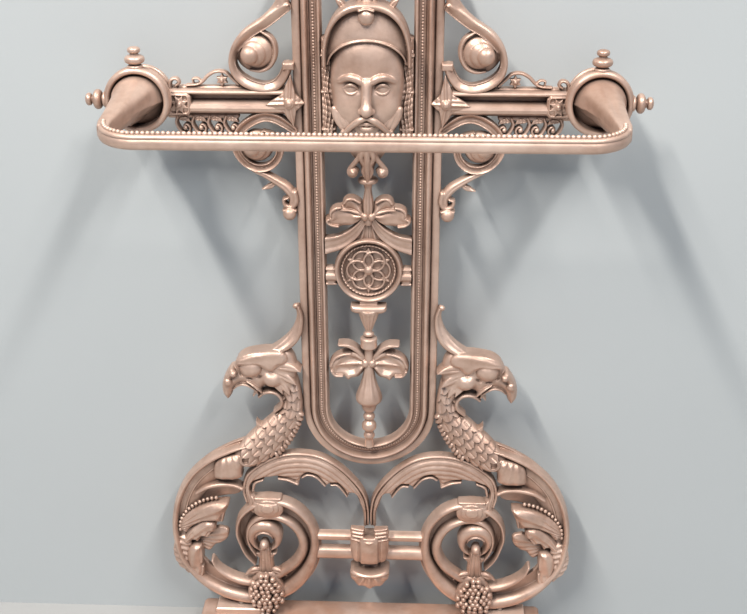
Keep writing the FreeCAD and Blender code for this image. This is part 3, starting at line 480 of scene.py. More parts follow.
def solid(rings, first_cap=True):
    """Upright tube with ends closed by single faces."""
    verts, faces = skin(rings, upright=True)
    n = len(rings[0])
    if first_cap:
        faces.append(tuple(reversed(range(n))))
    faces.append(tuple(range(len(verts) - n, len(verts))))
    return verts, faces


def circle_rings(profile, sides, point):
    """Rings of point(level, radius, angle) for a profile of (level, radius)."""
    angles = [2 * math.pi * k / sides for k in range(sides)]
    return [[point(level, radius, a) for a in angles] for level, radius in table(profile)]


def outward(x, z):
    """Point function for turning about a line square to the wall, levels being d."""
    return lambda d, radius, a: world(x + radius * math.cos(a), z + radius * math.sin(a), d)


def upward(x, d):
    """Point function for turning about a vertical line, levels being above the floor."""
    return lambda z, radius, a: on_floor(x + radius * math.cos(a), d - radius * math.sin(a), z)


PENDANT_D = 22   # axis of the turned pieces inside the frame


def pendant_turning(profile, sides, steps, flutes=0, top=0, bottom=0):
    """Turned drop on the centre line from (z, radius), fluted between top and bottom."""
    def point(z, radius, a):
        if flutes and top >= z >= bottom:
            q = (z - bottom) / (top - bottom)
            radius -= math.sin(math.pi * q) ** 0.5 * (0.5 - 0.5 * math.cos(flutes * a))
        return world(radius * math.cos(a), z, PENDANT_D + radius * math.sin(a))
    return fanned(circle_rings(smooth_path(profile, steps), sides, point), upright=True)


def hex_radius(across, angle, limit):
    """Radius of a hexagon at an angle, cut down to a limit."""
    q = (angle + math.pi / 6) % (math.pi / 3) - math.pi / 6
    return min(across / math.sqrt(3) * math.cos(math.pi / 6) / math.cos(q), limit)


def moulding(x0, x1, profile):
    """Straight moulding along x from a profile of (z, d)."""
    profile = table(profile)
    return fanned([[world(x, z, d) for z, d in profile] for x in np.linspace(x0, x1, 9)])


def bead_cluster(centres, sides, rings):
    """Small cast beads as separate closed balls; centres are (x, z, d, radius)."""
    verts, faces = [], []
    rng = np.random.default_rng(11)
    for x, z, d, r in centres:
        o = len(verts)
        q = 1 + 0.05 * rng.standard_normal(3)
        for i in range(1, rings):
            t = math.pi * i / rings
            for k in range(sides):
                a = 2 * math.pi * k / sides
                verts.append(world(x + q[0] * r * math.sin(t) * math.cos(a),
                                   z + q[1] * r * math.cos(t),
                                   d + q[2] * r * math.sin(t) * math.sin(a)))
        top = len(verts)
        verts += [world(x, z + q[1] * r, d), world(x, z - q[1] * r, d)]
        for i in range(rings - 2):
            for k in range(sides):
                a, b = o + i * sides + k, o + i * sides + (k + 1) % sides
                faces.append((a, b, b + sides, a + sides))
        last = o + (rings - 2) * sides
        for k in range(sides):
            e = (k + 1) % sides
            faces.append((o + k, top, o + e))
            faces.append((last + e, top + 1, last + k))
    return np.array(verts), faces


# --------------------------------------------------------------- materials
BLACK, WHITE = (0, 0, 0, 1), (1, 1, 1, 1)


def add_node(tree, kind, inputs, **settings):
    """Adds a shader node; an input is either a value or a socket to link from."""
    made = tree.nodes.new("ShaderNode" + kind)
    for key, value in settings.items():
        setattr(made, key, value)
    for socket, value in inputs.items():
        if isinstance(value, bpy.types.NodeSocket):
            tree.links.new(value, made.inputs[socket])
        else:
            made.inputs[socket].default_value = value
    return made


def paint(name, shade_colour, mid, high, rough=0.4, metal=0.55, painted_shade_amount=0.78, dust=0.12):
    """Brushed metallic paint: painted shade darkens the hollows, mid to high on the faces, and the
    edges are lightened for rubbed wear and a painted highlight.
    """
    material = bpy.data.materials.new(name)
    material.use_nodes = True
    tree = material.node_tree
    tree.nodes.clear()
    place_on = add_node(tree, "TexCoord", {}).outputs["Object"]

    def noise(scale, detail, roughness=0.55, distortion=0.0):
        return add_node(tree, "TexNoise", {
            "Vector": place_on, "Scale": scale, "Detail": detail, "Roughness": roughness,
            "Distortion": distortion}).outputs[0]

    def ramp(source, *stops):
        made = add_node(tree, "ValToRGB", {0: source})
        elements = made.color_ramp.elements
        elements[0].position, elements[0].color = stops[0]
        elements[1].position, elements[1].color = stops[-1]
        for position, colour in stops[1:-1]:
            elements.new(position).color = colour
        return made.outputs[0]

    def mix(first, second, factor):
        sockets = {0: factor, 6: first, 7: second}
        return add_node(tree, "Mix", sockets, data_type="RGBA").outputs[2]

    def maths(operation, *values):
        return add_node(tree, "Math", dict(enumerate(values)), operation=operation).outputs[0]

    def grey(value):
        return (value, value, value, 1)

    # broad clouds and fine flecks
    clouds = noise(scale=9, detail=4, roughness=0.6, distortion=0.4)
    flecks = noise(scale=70, detail=6, roughness=0.6)
    between = tuple(0.5 * (a + b) for a, b in zip(mid, high))
    base = ramp(clouds, (0.30, (*mid, 1)), (0.55, (*between, 1)), (0.75, (*high, 1)))
    fleck = ramp(flecks, (0.35, (*(0.8 * a for a in mid), 1)), (0.65, (*high, 1)))
    colour = mix(base, fleck, factor=0.22)
    # painted shade: hollows found by ambient occlusion are darkened towards the shade colour
    hollow = add_node(tree, "AmbientOcclusion", {"Distance": 0.015}, samples=8).outputs["AO"]
    painted_shade_mask = maths("MULTIPLY", ramp(hollow, (0.22, WHITE), (0.80, BLACK)), painted_shade_amount)
    colour = mix(colour, (*shade_colour, 1), painted_shade_mask)
    # rubbed wear and painted highlight: convex edges lightened towards a whiter high colour
    shape = add_node(tree, "NewGeometry", {})
    edge = maths("MULTIPLY", ramp(shape.outputs["Pointiness"], (0.515, BLACK), (0.60, WHITE)),
                 0.45)
    colour = mix(colour, (*(min(1.0, c * 1.22) for c in high), 1), edge)
    # pale dust on upward faces
    normal = add_node(tree, "SeparateXYZ", {0: shape.outputs["Normal"]})
    upper = ramp(normal.outputs["Z"], (0.35, BLACK), (0.95, WHITE))
    patches = ramp(noise(scale=24, detail=4), (0.4, BLACK), (0.7, grey(dust)))
    colour = mix(colour, (0.80, 0.74, 0.68, 1), maths("MULTIPLY", upper, patches))
    # roughness, more in the hollows
    gloss = ramp(noise(scale=38, detail=5), (0.3, grey(rough - 0.07)), (0.7, grey(rough + 0.12)))
    roughness = maths("MULTIPLY_ADD", painted_shade_mask, 0.35, gloss)
    # brush marks over sand-cast iron
    grain = noise(scale=220, detail=5, roughness=0.6)
    waves = noise(scale=46, detail=3, roughness=0.5)
    bump = add_node(tree, "Bump", {"Strength": 0.35, "Distance": 0.0006,
                                   "Height": maths("MULTIPLY_ADD", waves, 1.6, grain)})
    surface = add_node(tree, "BsdfPrincipled", {
        "Base Color": colour, "Metallic": metal, "Roughness": roughness,
        "Normal": bump.outputs[0]})
    add_node(tree, "OutputMaterial", {0: surface.outputs[0]})
    MATERIALS[name] = material


# the first colour of each paint is the painted shade for its hollows
paint("bronze", shade_colour=(0.046, 0.022, 0.014), mid=(0.415, 0.252, 0.181), high=(0.77, 0.575, 0.465))
paint("bronze_base", shade_colour=(0.05, 0.024, 0.016), mid=(0.40, 0.225, 0.155),
      high=(0.60, 0.37, 0.27), rough=0.44, dust=0.25)
paint("tray", shade_colour=(0.035, 0.018, 0.012), mid=(0.26, 0.15, 0.105), high=(0.46, 0.29, 0.21),
      rough=0.5, dust=0.35)
paint("steel", shade_colour=(0.03, 0.028, 0.026), mid=(0.22, 0.21, 0.20), high=(0.42, 0.41, 0.40),
      rough=0.36, metal=0.95, dust=0.1, painted_shade_amount=0.5)

# ---------------------------------------------------------- upright frame
# Two straight sides joined by half circles about z = FRAME_LOW and FRAME_HIGH.
FRAME_LOW, FRAME_HIGH = -338.5, 112
# (distance out from the line of centres, d)
frame_profile = table("""71 8, 71 14.6, 70.4 16.2, 69.2 16.8, 64.4 16.8, 63.3 16.2, 62.7 14.8,
    62.1 15.6, 61.7 18.2, 61 21, 59.8 23.1, 58.6 23.6, 57.5 23, 56.6 20.8, 56.2 17.6, 55.7 15,
    54.9 14.6, 54.1 15.4, 53.2 15.6, 48.8 15.6, 48 15.9, 47.5 17.6, 47 19.8, 46 21, 45 21,
    44.1 19.9, 43.6 18, 43.2 16.4, 43 14.8, 43 8""")
SIDE_STEPS, ARCH_STEPS = 24, 40
stations = []   # (centre z, outward x, outward z)
for z0, z1, nx, turn in ((FRAME_LOW, FRAME_HIGH, 1, 0), (FRAME_HIGH, FRAME_LOW, -1, math.pi)):
    stations += [(z0 + (z1 - z0) * i / SIDE_STEPS, nx, 0) for i in range(SIDE_STEPS)]
    angles = [turn + math.pi * i / ARCH_STEPS for i in range(ARCH_STEPS)]
    stations += [(z1, math.cos(a), math.sin(a)) for a in angles]
frame_mesh = skin([[world(nx * u, cz + nz * u, d) for u, d in frame_profile]
                   for cz, nx, nz in stations], closed=True)
PEARL_LINE, PEARL_PITCH, PEARL_DEPTH_RADIUS = 51, 2.9, (15.5, 1.3)
pearls = []
side_count = int((FRAME_HIGH - FRAME_LOW) / PEARL_PITCH)
for s in (-1, 1):
    for i in range(side_count + 1):
        z = FRAME_LOW + (FRAME_HIGH - FRAME_LOW) * i / side_count
        pearls.append((s * PEARL_LINE, z, *PEARL_DEPTH_RADIUS))
arch_count = int(math.pi * PEARL_LINE / PEARL_PITCH)
for i in range(1, arch_count):
    a = math.pi * i / arch_count
    x, z = PEARL_LINE * math.cos(a), PEARL_LINE * math.sin(a)
    pearls.append((x, FRAME_HIGH + z, *PEARL_DEPTH_RADIUS))
    pearls.append((x, FRAME_LOW - z, *PEARL_DEPTH_RADIUS))
place("upright_frame", joined([frame_mesh, bead_cluster(pearls, 8, 6)]), angle=38)

# ------------------------------------------------------------------ bosses
# (d, radius), out over the front and back through the bore
boss_profile = """8 26.4, 8.6 27, 13.4 27, 14 26.4, 14.4 24.9, 16 24.4, 27 24.6, 29 25.2, 31 27.6,
    32.6 30.2, 34 31, 36 31.2, 37.4 30.4, 38.4 30, 39.4 30.6, 41 31.2, 43 31, 44.6 30.2,
    45.7 28.8, 46 27.4, 45.6 26.2, 44.4 25.3, 42 25, 34 25, 30 22, 20 19, 20 5.4, 8 5.4"""
place_pair("rail_boss", skin(circle_rings(boss_profile, 72, outward(-BOSS_X, 0)), closed=True),
           angle=42)

# neck, wide flattened ball, thin neck, small flattened ball, as (height, radius)
ball_profile = table("-1.8 6.4, -1 7.2, 0.6 7.3, 1.5 6.4, 2 4.8, 2.8 4.6")
for radius, half, middle, start, end, neck in (
        (9.4, 4.5, 6.7, 0.16, 0.84, "11.4 3.9, 11.9 3.9"), (6.0, 3.3, 15.2, 0.17, 0.995, None)):
    for i in range(13):
        t = math.pi * (start + (end - start) * i / 12)
        rise = math.copysign(abs(math.cos(t)) ** 0.85, math.cos(t))
        ball_profile.append((middle - half * rise, radius * max(math.sin(t), 0.03) ** 0.8))
    if neck:
        ball_profile += table(neck)


def finial(x, z, ux, uz):
    """Finial pointing along (ux, uz) in the plane of the back."""
    def point(h, radius, a):
        across = radius * math.cos(a)
        return world(x + ux * h - uz * across, z + uz * h + ux * across,
                     38 + radius * math.sin(a))
    return fanned(circle_rings(ball_profile, 40, point))


FINIAL_REACH = 31
place("boss_finials", joined([finial(s * BOSS_X, FINIAL_REACH, 0, 1) for s in (-1, 1)]
                             + [finial(s * (BOSS_X + FINIAL_REACH), 0, s, 0) for s in (-1, 1)]),
      angle=55)

# -------------------------------------------------------------- stick rail
RAIL_FRONT, RAIL_X, RAIL_DEEP = 157, 231.5, 11    # outer faces and thickness
RAIL_CORNER, RAIL_DROOP, RAIL_START = 34, 8, 40   # corner radius, fall at front, first d
side_x, front_d = RAIL_X - RAIL_DEEP / 2, RAIL_FRONT - RAIL_DEEP / 2
corner_d = front_d - RAIL_CORNER


def rail_line():
    """Middle of the bar as (x, d), from the right boss round to the left."""
    half = []
    start_x = BOSS_X + 0.4
    for i in range(14):
        t = i / 14
        half.append((start_x + (side_x - BOSS_X - 0.4) * t,
                     RAIL_START + (corner_d - RAIL_START) * t))
    for i in range(20):
        a = math.pi / 2 * i / 20
        half.append((side_x - RAIL_CORNER + RAIL_CORNER * math.cos(a),
                     corner_d + RAIL_CORNER * math.sin(a)))
    for i in range(30):
        half.append(((side_x - RAIL_CORNER) * (1 - i / 30), front_d))
    return half + [(0.0, front_d)] + [(-x, d) for x, d in reversed(half)]


def sag(d):
    return -RAIL_DROOP * (d - 30) / (RAIL_FRONT - 30)


line = rail_line()
# (outward, z)
bar_profile = smooth_path("""-3 -7, 1.6 -7, 4.4 -5.9, 5.6 -3.2, 5.5 0.4, 4.7 2.2, 4.4 3, 5 3.6,
    4.6 5.2, 3 6.4, 0 6.7, -3 6.4, -4.8 5, -5.5 2, -5.5 -3, -4.7 -6""", 2, True)
rings = []
for i, (x, d) in enumerate(line):
    a, b = line[max(i - 1, 0)], line[min(i + 1, len(line) - 1)]
    tx, td = b[0] - a[0], b[1] - a[1]
    length = math.hypot(tx, td)
    nx, nd = td / length, -tx / length
    if (nx * x < 0 and abs(x) > 5 and d < 120) or (nd < 0 and d > 145):
        nx, nd = -nx, -nd
    rings.append([world(x + nx * o, z + sag(d), d + nd * o) for o, z in bar_profile])

BEAD_PITCH = 4.42
beads = []
ahead = 0.0   # distance to the next bead
for (x0, d0), (x1, d1) in zip(line, line[1:]):
    length = math.hypot(x1 - x0, d1 - d0)
    while ahead <= length:
        t = ahead / length
        x, d = x0 + (x1 - x0) * t, d0 + (d1 - d0) * t
        if d > corner_d - 0.5:
            beads.append((x, 7.3 + sag(d), d + 0.6, 2.15))
        ahead += BEAD_PITCH
    ahead -= length
studs = [fanned(circle_rings("2 4.2, 3 5, 24 5, 24.2 10.4, 52 10.4", 32, outward(s * BOSS_X, 0)))
         for s in (-1, 1)]
place("stick_rail", joined([fanned(rings), bead_cluster(beads, 10, 7)] + studs), angle=50)


def horn_point(d, radius, a):
    """The left horn fills its boss and draws down, squarer, to the bar at the corner."""
    t = max(0.0, (d - RAIL_START) / (corner_d - RAIL_START))
    cx = -BOSS_X - (side_x - BOSS_X) * min(t, 1.0) + max(0.0, t - 1.0) * 5.0
    square = unit((d - 44) / 40)
    e = 2.0 / (2.0 + 2.6 * square)
    ca, sa = math.cos(a), math.sin(a)
    radius *= 1.0 / (abs(ca) ** (2.0 / e) + abs(sa) ** (2.0 / e)) ** (e / 2.0)
    folds = 0.022 * math.cos(9 * a + (d - 40) * 0.055)
    radius *= 1 + folds * unit((d - 46) / 10) * unit((112 - d) / 20)

    def near(centre, spread):
        """Falls from one at the centre angle to nothing, in degrees."""
        off = abs((math.degrees(a) - centre + 180.0) % 360.0 - 180.0)
        return max(0.0, 1.0 - off / spread)

    # the underside towards the middle is drawn in, leaving a dark mouth
    radius *= 1 - 0.42 * near(-52, 52) ** 0.6 * unit((d - 33) / 8) * unit((104 - d) / 40)
    creases = near(5, 45) * unit((d - 40) / 8) * unit((80 - d) / 20)
    radius *= 1 - 0.05 * creases * (0.5 + 0.5 * math.cos(d * 0.55 + a * 3))
    return world(cx + radius * (1 - 0.14 * square) * ca, sag(max(d, 30.0)) + radius * sa, d)


horn_profile = smooth_path("""24 17.8, 29 20.6, 33 23.4, 36 24.4, 40 24.4, 47 22.6, 60 17.8,
    76 14.2, 95 10.8, 110 8.7, 122 7.2, 127 6.4, 128 5""", 4)
place_group("rail_collars", fanned(circle_rings(horn_profile, 96, horn_point)), angle=60)

# (d, largest radius): chamfered back and front corners, then the bore
NUT_ACROSS, NUT_BORE = 16, 5
chamfer = NUT_ACROSS / math.sqrt(3) * 0.93
nut_profile = [(0.6, chamfer), (1.1, math.inf), (6.1, math.inf), (6.6, chamfer),
               (6.6, NUT_BORE), (0.6, NUT_BORE)]
place_group("rail_nuts", skin(circle_rings(
    nut_profile, 36,
    lambda d, limit, a: outward(-BOSS_X, 0)(d, hex_radius(NUT_ACROSS, a, limit), a)),
    closed=True), **STEEL)
place_group("rail_washers", skin(circle_rings("6.6 9.7, 6.8 10, 7.8 10, 8 9.7, 8 5.2, 6.6 5.2",
                                              48, outward(-BOSS_X, 0)), closed=True), **STEEL)

# --------------------------------------------------------------- cross arms
arm_profile = """8 8, 8.2 12.4, 7.6 15.4, 6.6 16.2, 6.2 18.4, 5.8 20.8, 4.8 22.8, 3.4 23.4, 2 22.8,
    1 20.8, 0.4 18.6, -0.4 17.6, -0.9 15, -1.4 13.2, -4.4 13.2, -5.2 15, -5.8 18, -6.8 20.8,
    -8.6 23.2, -11.6 24.2, -14.6 23.4, -16.6 21, -17.2 18.4, -17.8 16.6, -18.8 15.6, -19.2 13,
    -19 8"""
place_pair("cross_arm", moulding(-190, -70, arm_profile), angle=32)

# ------------------------------------------------- rosettes beside the bosses
cast = Cast(-193, -167, -21, 20, 13, 32)
cast.plate("-191 -19, -171.5 -19, -168.5 -15.5, -168.5 -0.5, -171.5 3, -191 3", 14,
           lambda X, Z, plan: 23.5 + 1.6 * unit(-plan - 0.8) - 2.0 * unit(-plan - 2.6))
cast.flower(-179.5, -8, 8.6, 8, 5.4, 20, 23.4, 2.6, vein=0.8)
cast.button(-179.5, -8, 3.2, 20, 25.4, 3)
cast.strap("-186.5 2 3.6, -188.4 8 3.6, -187 13.6 3.6, -182 15.4 3.4, -179.4 11.6 3.2, "
           "-182.4 9 2.6", 14, 17, 4)
place_pair("boss_rosette", cast.mesh())

# ------------------------------------------------------------- star flowers
cast = Cast(-101, -47, -33, 25, 18, 36)
STAR_X, STAR_Z = -74, -6
tips = table("-97.5 -8, -72.5 21.5, -59.5 -6, -70.6 -29.5")
outline = []
for (ax, az), (bx, bz) in zip(tips, tips[1:] + tips[:1]):
    outline.append((ax, az))
    outline.append((STAR_X + ((ax + bx) / 2 - STAR_X) * 0.66,
                    STAR_Z + ((az + bz) / 2 - STAR_Z) * 0.66))


def star_front(X, Z, plan):
    """Each point is ridged along its middle and falls to the edges."""
    h = np.zeros(X.shape)
    for tx, tz in tips:
        length = math.hypot(tx - STAR_X, tz - STAR_Z)
        ux, uz = (tx - STAR_X) / length, (tz - STAR_Z) / length
        s = ((X - STAR_X) * ux + (Z - STAR_Z) * uz) / length
        o = np.abs(-(X - STAR_X) * uz + (Z - STAR_Z) * ux)
        ridge = 8.0 - 4.4 * s - 0.36 * o + 0.5 * np.cos(o * 1.5)
        h = np.maximum(h, np.where(s > 0, ridge, 0.0))
    return 20.0 + np.clip(h, 0, 9)


cast.plate(outline, 19, star_front, edge=0.7)
cast.button(STAR_X, STAR_Z, 5, 22, 26, 4.6, ring=0.9)
place_group("arm_stars", cast.mesh())

# ------------------------------------------------- openwork under each arm
cast = Cast(-194, -121, -49, -17, 9, 24)
cast.strap("-191 -21 5, -126 -21 5", 10, 14.5, 2.5)
cast.strap("-186 -44 4, -160 -45 4, -128 -44 4", 10, 14.5, 2.5)
for i in range(4):
    x = -184 + 15.5 * i
    cast.strap([(x + 1, -21, 3.2), (x - 1, -28, 3.6), (x + 3, -36, 3.8), (x + 9, -38, 3.6),
                (x + 12, -33, 3.2), (x + 9, -29, 2.8), (x + 6, -31, 2.2)], 10, 14, 4.5)
    cast.leaf((x + 3, -24), (x + 13, -27), 2, 6.5, 11, 15.5, 3, lobes=3)
    cast.leaf((x + 2, -38), (x + 5, -45), -1, 5, 11, 15, 3, lobes=2)
    cast.leaf((x + 11, -38), (x + 14, -45), 1, 5, 11, 15, 3, lobes=2)
    cast.button(x + 7.5, -32.5, 2.4, 11, 17, 2.6)
place_pair("arm_fret", cast.mesh())

# ---------------------------------------------- thin S scroll over each arm
cast = Cast(-175, -118, 5, 27, 11, 23)
cast.strap("-172.5 8.6 2.8, -164 9.2 3, -158 11.6 3.2, -152 17.6 3.4, -144 21.8 3.4, "
           "-135.5 21.2 3.4, -129.4 15.8 3.2, -123 9.8 3.2", 12, 14.8, 3.2)
cast.strap("-158 11.6 2.4, -162 15 2.4, -166.5 14.4 2.2, -166.4 11.2 2", 12, 14.8, 2.4)
cast.flower(-138.5, 13.8, 5.8, 6, 4.6, 12, 15, 2.6, vein=0.5, blend=0.3)
cast.button(-138.5, 13.8, 2, 13, 17.6, 2)
cast.strap("-138.5 7 3, -138.5 12 3", 12, 14, 2)
place_pair("arm_cresting", cast.mesh())

# ----------------------------------------------------- upper leaf scrolls
cast = Cast(-134, -66, 0, 124, 9, 42)
cast.strap("-72.6 121.5 6, -74 108 8.4, -76.2 95 10.8, -80.4 83.5 12.4, -88 74.5 12, -96 68 11",
           10, 17, 6, 0.6, "dull", edge=1.4)
cast.strap("""-75 82.5 9.4, -86.5 75 11.6, -96 68 11, -104.5 63 10.5, -113 57 10.5,
    -120 49.5 9.5, -125 41 8, -127 31 7, -123.8 21 8.4, -116 13.5 9.6, -106 9 9.8, -96 7.5 10,
    -86 11 10, -79.5 18.5 9.8, -75.5 28 9""", 10, [17, 18, 19, 19, 18, 17, 17], 6.4, edge=1.5,
           profile="-1.1 0.5, -0.8 0.85, -0.45 1, 0 0.86, 0.5 0.55, 0.78 0.42, 0.9 0.72, 1.1 0.5")
cast.shells("-105 41.5 20 13.5 8.5, -103.5 41.5 15.6 18 8, -105.8 40.5 12 22.5 6.6, "
            "-109.6 39.5 8.8 26 8")
cast.strap("-99 60.5 3, -90.5 54.5 4.4, -86.6 46 4.8, -87.4 36 4.8, -92.5 27.5 4.6, "
           "-101 23.6 4, -110 24.5 3", 12, 17.5, 5, 0.5)
cast.dig(-121.4, 35, 34, 3.6, 9.5, 17, 1.2, turn=4)
cast.dig(-117, 24.5, 34, 7, 3.2, 17, 1.2, turn=-30)
cast.plate("-80 25, -69 25, -69 32, -80 32", 10, lambda X, Z, plan: 22.5 + 1.2 * unit(-plan))
place_pair("upper_scroll", cast.mesh())

# ------------------------------------------------- brackets below the arms
cast = Cast(-136, -66, -127, -12, 9, 34)
cast.strap("""-71 -34 7, -79 -28 9, -90 -22 10, -101 -21 10, -113 -26 10, -122.5 -34 9.4,
    -128 -45 9, -126.5 -57 8.6, -119 -67 8.2, -108 -72 8.4, -96 -70 8, -87.5 -61 7.5, -86 -49 7,
    -92 -40 6, -101 -36.5 5""", 10, 14, 7,
           profile="-1.1 0.6, -0.8 1, -0.4 0.75, 0 0.35, 0.4 0.45, 0.8 0.9, 1.1 0.6")
cast.shells("-108 -50 16 14.5 7.5, -109.5 -51 12.2 18.5 7.5, -112 -51 8.2 22.5 7.5")
cast.strap("-112 -75 4, -101 -79.5 7, -90 -86 8.4, -81 -92.5 9.6, -75 -101 9.4, -75.5 -109 7.6",
           10, 14, 6.5, groove=1)
cast.petal((-92, -88), (-105, -94), 1, 6, 11, 14.5, 3.6, flute=0.9)
cast.strap("-72.5 -97 6, -71.5 -106 6.5, -76 -112 6, -82 -110 5, -83.5 -104.5 4, "
           "-79.5 -102.5 3", 10.5, 16, 5, 0.4)
cast.button(-78.2, -118.6, 6.6, 10, 19, 6)
cast.strap("-84 -115.2 3, -78 -113.4 3.4, -72 -115.2 3", 10.5, 18, 4, 0.4)
place_pair("lower_bracket", cast.mesh())

# -------------------------------------------------------------------- mask
# The face is divided in equal thirds from brow to nose to chin.
CHIN, THIRD = -42, 32
NOSE_Z, BROW_Z = CHIN + THIRD, CHIN + 2 * THIRD
EYE_Z, EYE_X, LIP_Z = 12, 14.4, CHIN + THIRD * 2 / 3
cast = Cast(-38, 38, -52, 70, 12, 58, VOXEL * 0.85)
# skull
cast.egg(0, 10, 21, 35, 54, 24)
cast.egg(0, -20, 24, 26, 30, 19, 6)
cast.egg(0, 34, 26, 30, 24, 17.5, 5)
cast.egg(0, 39, 27, 32.5, 29, 18.6, 4)
# cheeks and temples, mouth and chin
for s in (-1, 1):
    cast.egg(s * 19.5, -4, 35, 10.5, 12, 8, 6)
    cast.egg(s * 26, 20, 32, 7, 14, 8, 6)
cast.egg(0, LIP_Z, 38, 13, 11.5, 9, 6)
cast.egg(0, CHIN + 6, 37, 11.5, 9.5, 9, 6)
# eye sockets, brows, eyes and lids
for s in (-1, 1):
    cast.dig(s * EYE_X, EYE_Z + 1.2, 47, 9.6, 6.6, 7, 3)
    cast.rod([(s * 4.4, BROW_Z - 3, 45.6, 2.2), (s * 10, BROW_Z + 0.4, 45.2, 2.3),
              (s * 17, BROW_Z + 1.2, 43.6, 2.2), (s * 26, BROW_Z - 3, 39.6, 1.6)], 2.2)
    cast.egg(s * EYE_X, EYE_Z, 37.2, 7.6, 6.4, 6.6, 0.4)
    for lid in ("-7.4 -0.8 41 0.9, -3.5 3.6 43.6 1.2, 2 4.4 43.4 1.3, 7.4 0.6 39.8 1",
                "-7.4 -0.8 41 0.8, -2 -4 43 1, 3.5 -3.6 42.2 1, 7.4 0.6 39.8 0.9"):
        cast.rod([(s * (EYE_X + x), EYE_Z + z, d, r) for x, z, d, r in table(lid)], 0.7)
# nose and nostrils
cast.rod([(0, BROW_Z - 3, 43.6, 3.6), (0, EYE_Z - 2, 46.4, 3.2), (0, NOSE_Z + 6, 50.6, 3.8),
          (0, NOSE_Z + 3.2, 52.2, 4)], 3)
for s in (-1, 1):
    cast.egg(s * 5, NOSE_Z + 2.6, 48.2, 3.2, 3.2, 3.8, 1.6)
    cast.dig(s * 2.9, NOSE_Z - 0.6, 51, 1.5, 1.3, 2.6, 0.5)
# lips
for lip in ("""-10.2 -0.2 44.4 0.9, -5 1.4 47.4 1.6, -1.6 2 48.8 1.7, 0 1.4 48.9 1.6,
               1.6 2 48.8 1.7, 5 1.4 47.4 1.6, 10.2 -0.2 44.4 0.9""",
            "-9.4 -1 44.4 0.9, -4 -3 47.4 1.9, 0 -3.4 48.2 2.1, 4 -3 47.4 1.9, 9.4 -1 44.4 0.9"):
    cast.rod([(x, LIP_Z + z, d, r) for x, z, d, r in table(lip)], 0.8)
cast.trim(14)
place("mask_face", cast.mesh())

# beard and moustache
cast = Cast(-36, 36, -88, 4, 13, 58)
cast.egg(0, -40, 26, 25, 15, 15)
cast.egg(0, -54, 27, 11, 14, 11, 5)
for s in (-1, 1):
    cast.rod([(s * 1.2, NOSE_Z - 3.4, 50.6, 2), (s * 7, NOSE_Z - 5.6, 50.2, 2.7),
              (s * 14, LIP_Z - 1, 46.6, 2.6), (s * 20, LIP_Z - 7.5, 42.4, 2),
              (s * 23.5, LIP_Z - 8, 40, 1.4)], 0.8)
    cast.rod([(s * 3, NOSE_Z - 5.4, 50.8, 1), (s * 9, NOSE_Z - 8, 50.2, 1.2),
              (s * 16, LIP_Z - 3.6, 46, 1.1)], 0.4)
    # wavy locks from the cheek down to the point
    for j in range(6):
        t = j / 5.0
        x0, z0 = s * (30.5 - 25 * t), -8 - 23 * t + 4 * math.sin(3.1 * t)
        lock = []
        for i in range(9):
            q = i / 8.0
            x = x0 * (1 - q) + s * (2 + 8 * (1 - t)) * q + s * 1.6 * math.sin(q * 9 + j * 1.3)
            z = z0 * (1 - q) + (-60 + 5 * abs(t - 0.5)) * q
            d = (34 + 9.5 * math.sin(math.pi * min(1.0, 0.22 + 0.62 * q)) - 5.0 * (1 - t)
                 + 1.2 * math.cos(q * 9 + j) - 8 * q * q)
            lock.append((x, z, d, 3.2 - 0.9 * q))
        cast.rod(lock, 0.5, steps=4)
    # spiral curl at the foot
    for j in range(3):
        curl = []
        for i in range(15):
            a = math.radians(150 - 33 * i + 20 * j)
            r = (5.2 - 1.7 * j) * (1 - 0.042 * i)
            curl.append((s * (14.0 + r * math.cos(a)), -71 + r * math.sin(a),
                         31 + 1.4 * j + 0.14 * i, 2.0 - 0.05 * i))
        cast.rod(curl, 0.35, steps=3)
    cast.rod(flip("6 -52 37 2.6, 10 -58 35 2.4, 14 -63.5 33 2.3, 17.5 -68 31 2", s), 0.5)
    cast.egg(s * 14, -71, 29, 4.6, 4.6, 4.6, 0.8)
    cast.rod(flip("3 -44 42 2.6, 5.6 -54 39 2.7, 2.4 -63 36 2.4, 4 -70 33 2, 1 -78 31 1.2", s),
             0.5)
cast.rod("0 -40 44 2.6, 0 -54 41 2.8, 0 -66 37 2.8, 0 -80 31 1.6", 0.5)
cast.egg(0, -64, 28, 6.5, 14, 7, 1)
cast.trim(14)
place("mask_beard", cast.mesh())


# hood over the mask
def arch_path(rx, rz, z0, start, width):
    """Part of an ellipse as (x, z, width), from the start angle to its mirror image."""
    angles = [math.radians(start + (180 - 2 * start) * k / 24) for k in range(25)]
    return [(rx * math.cos(a), z0 + rz * math.sin(a), width) for a in angles]


def rim_width(a):
    return 3.6 + 3.4 * max(0.0, math.sin(a)) ** 1.6


def rim_place(a, x_reach, z_reach):
    x, z = (math.copysign(abs(v) ** 0.82, v) for v in (math.cos(a), math.sin(a)))
    return x * x_reach, 36.0 + z * z_reach


cast = Cast(-46, 46, 28, 116, 9, 54)
cast.plate([(x, z) for x, z, _ in arch_path(41, 51, 35, 0, 0)]
           + table("-41 33, -35.5 36, -31 46, -20 53.5, 0 56.5, 20 53.5, 31 46, 35.5 36, 41 33"),
           10, lambda X, Z, plan: 20 + 24 * root(1 - (X / 44) ** 2 - ((Z - 42) / 62) ** 2)
           + 2 * root(-plan / 4), edge=1.5)
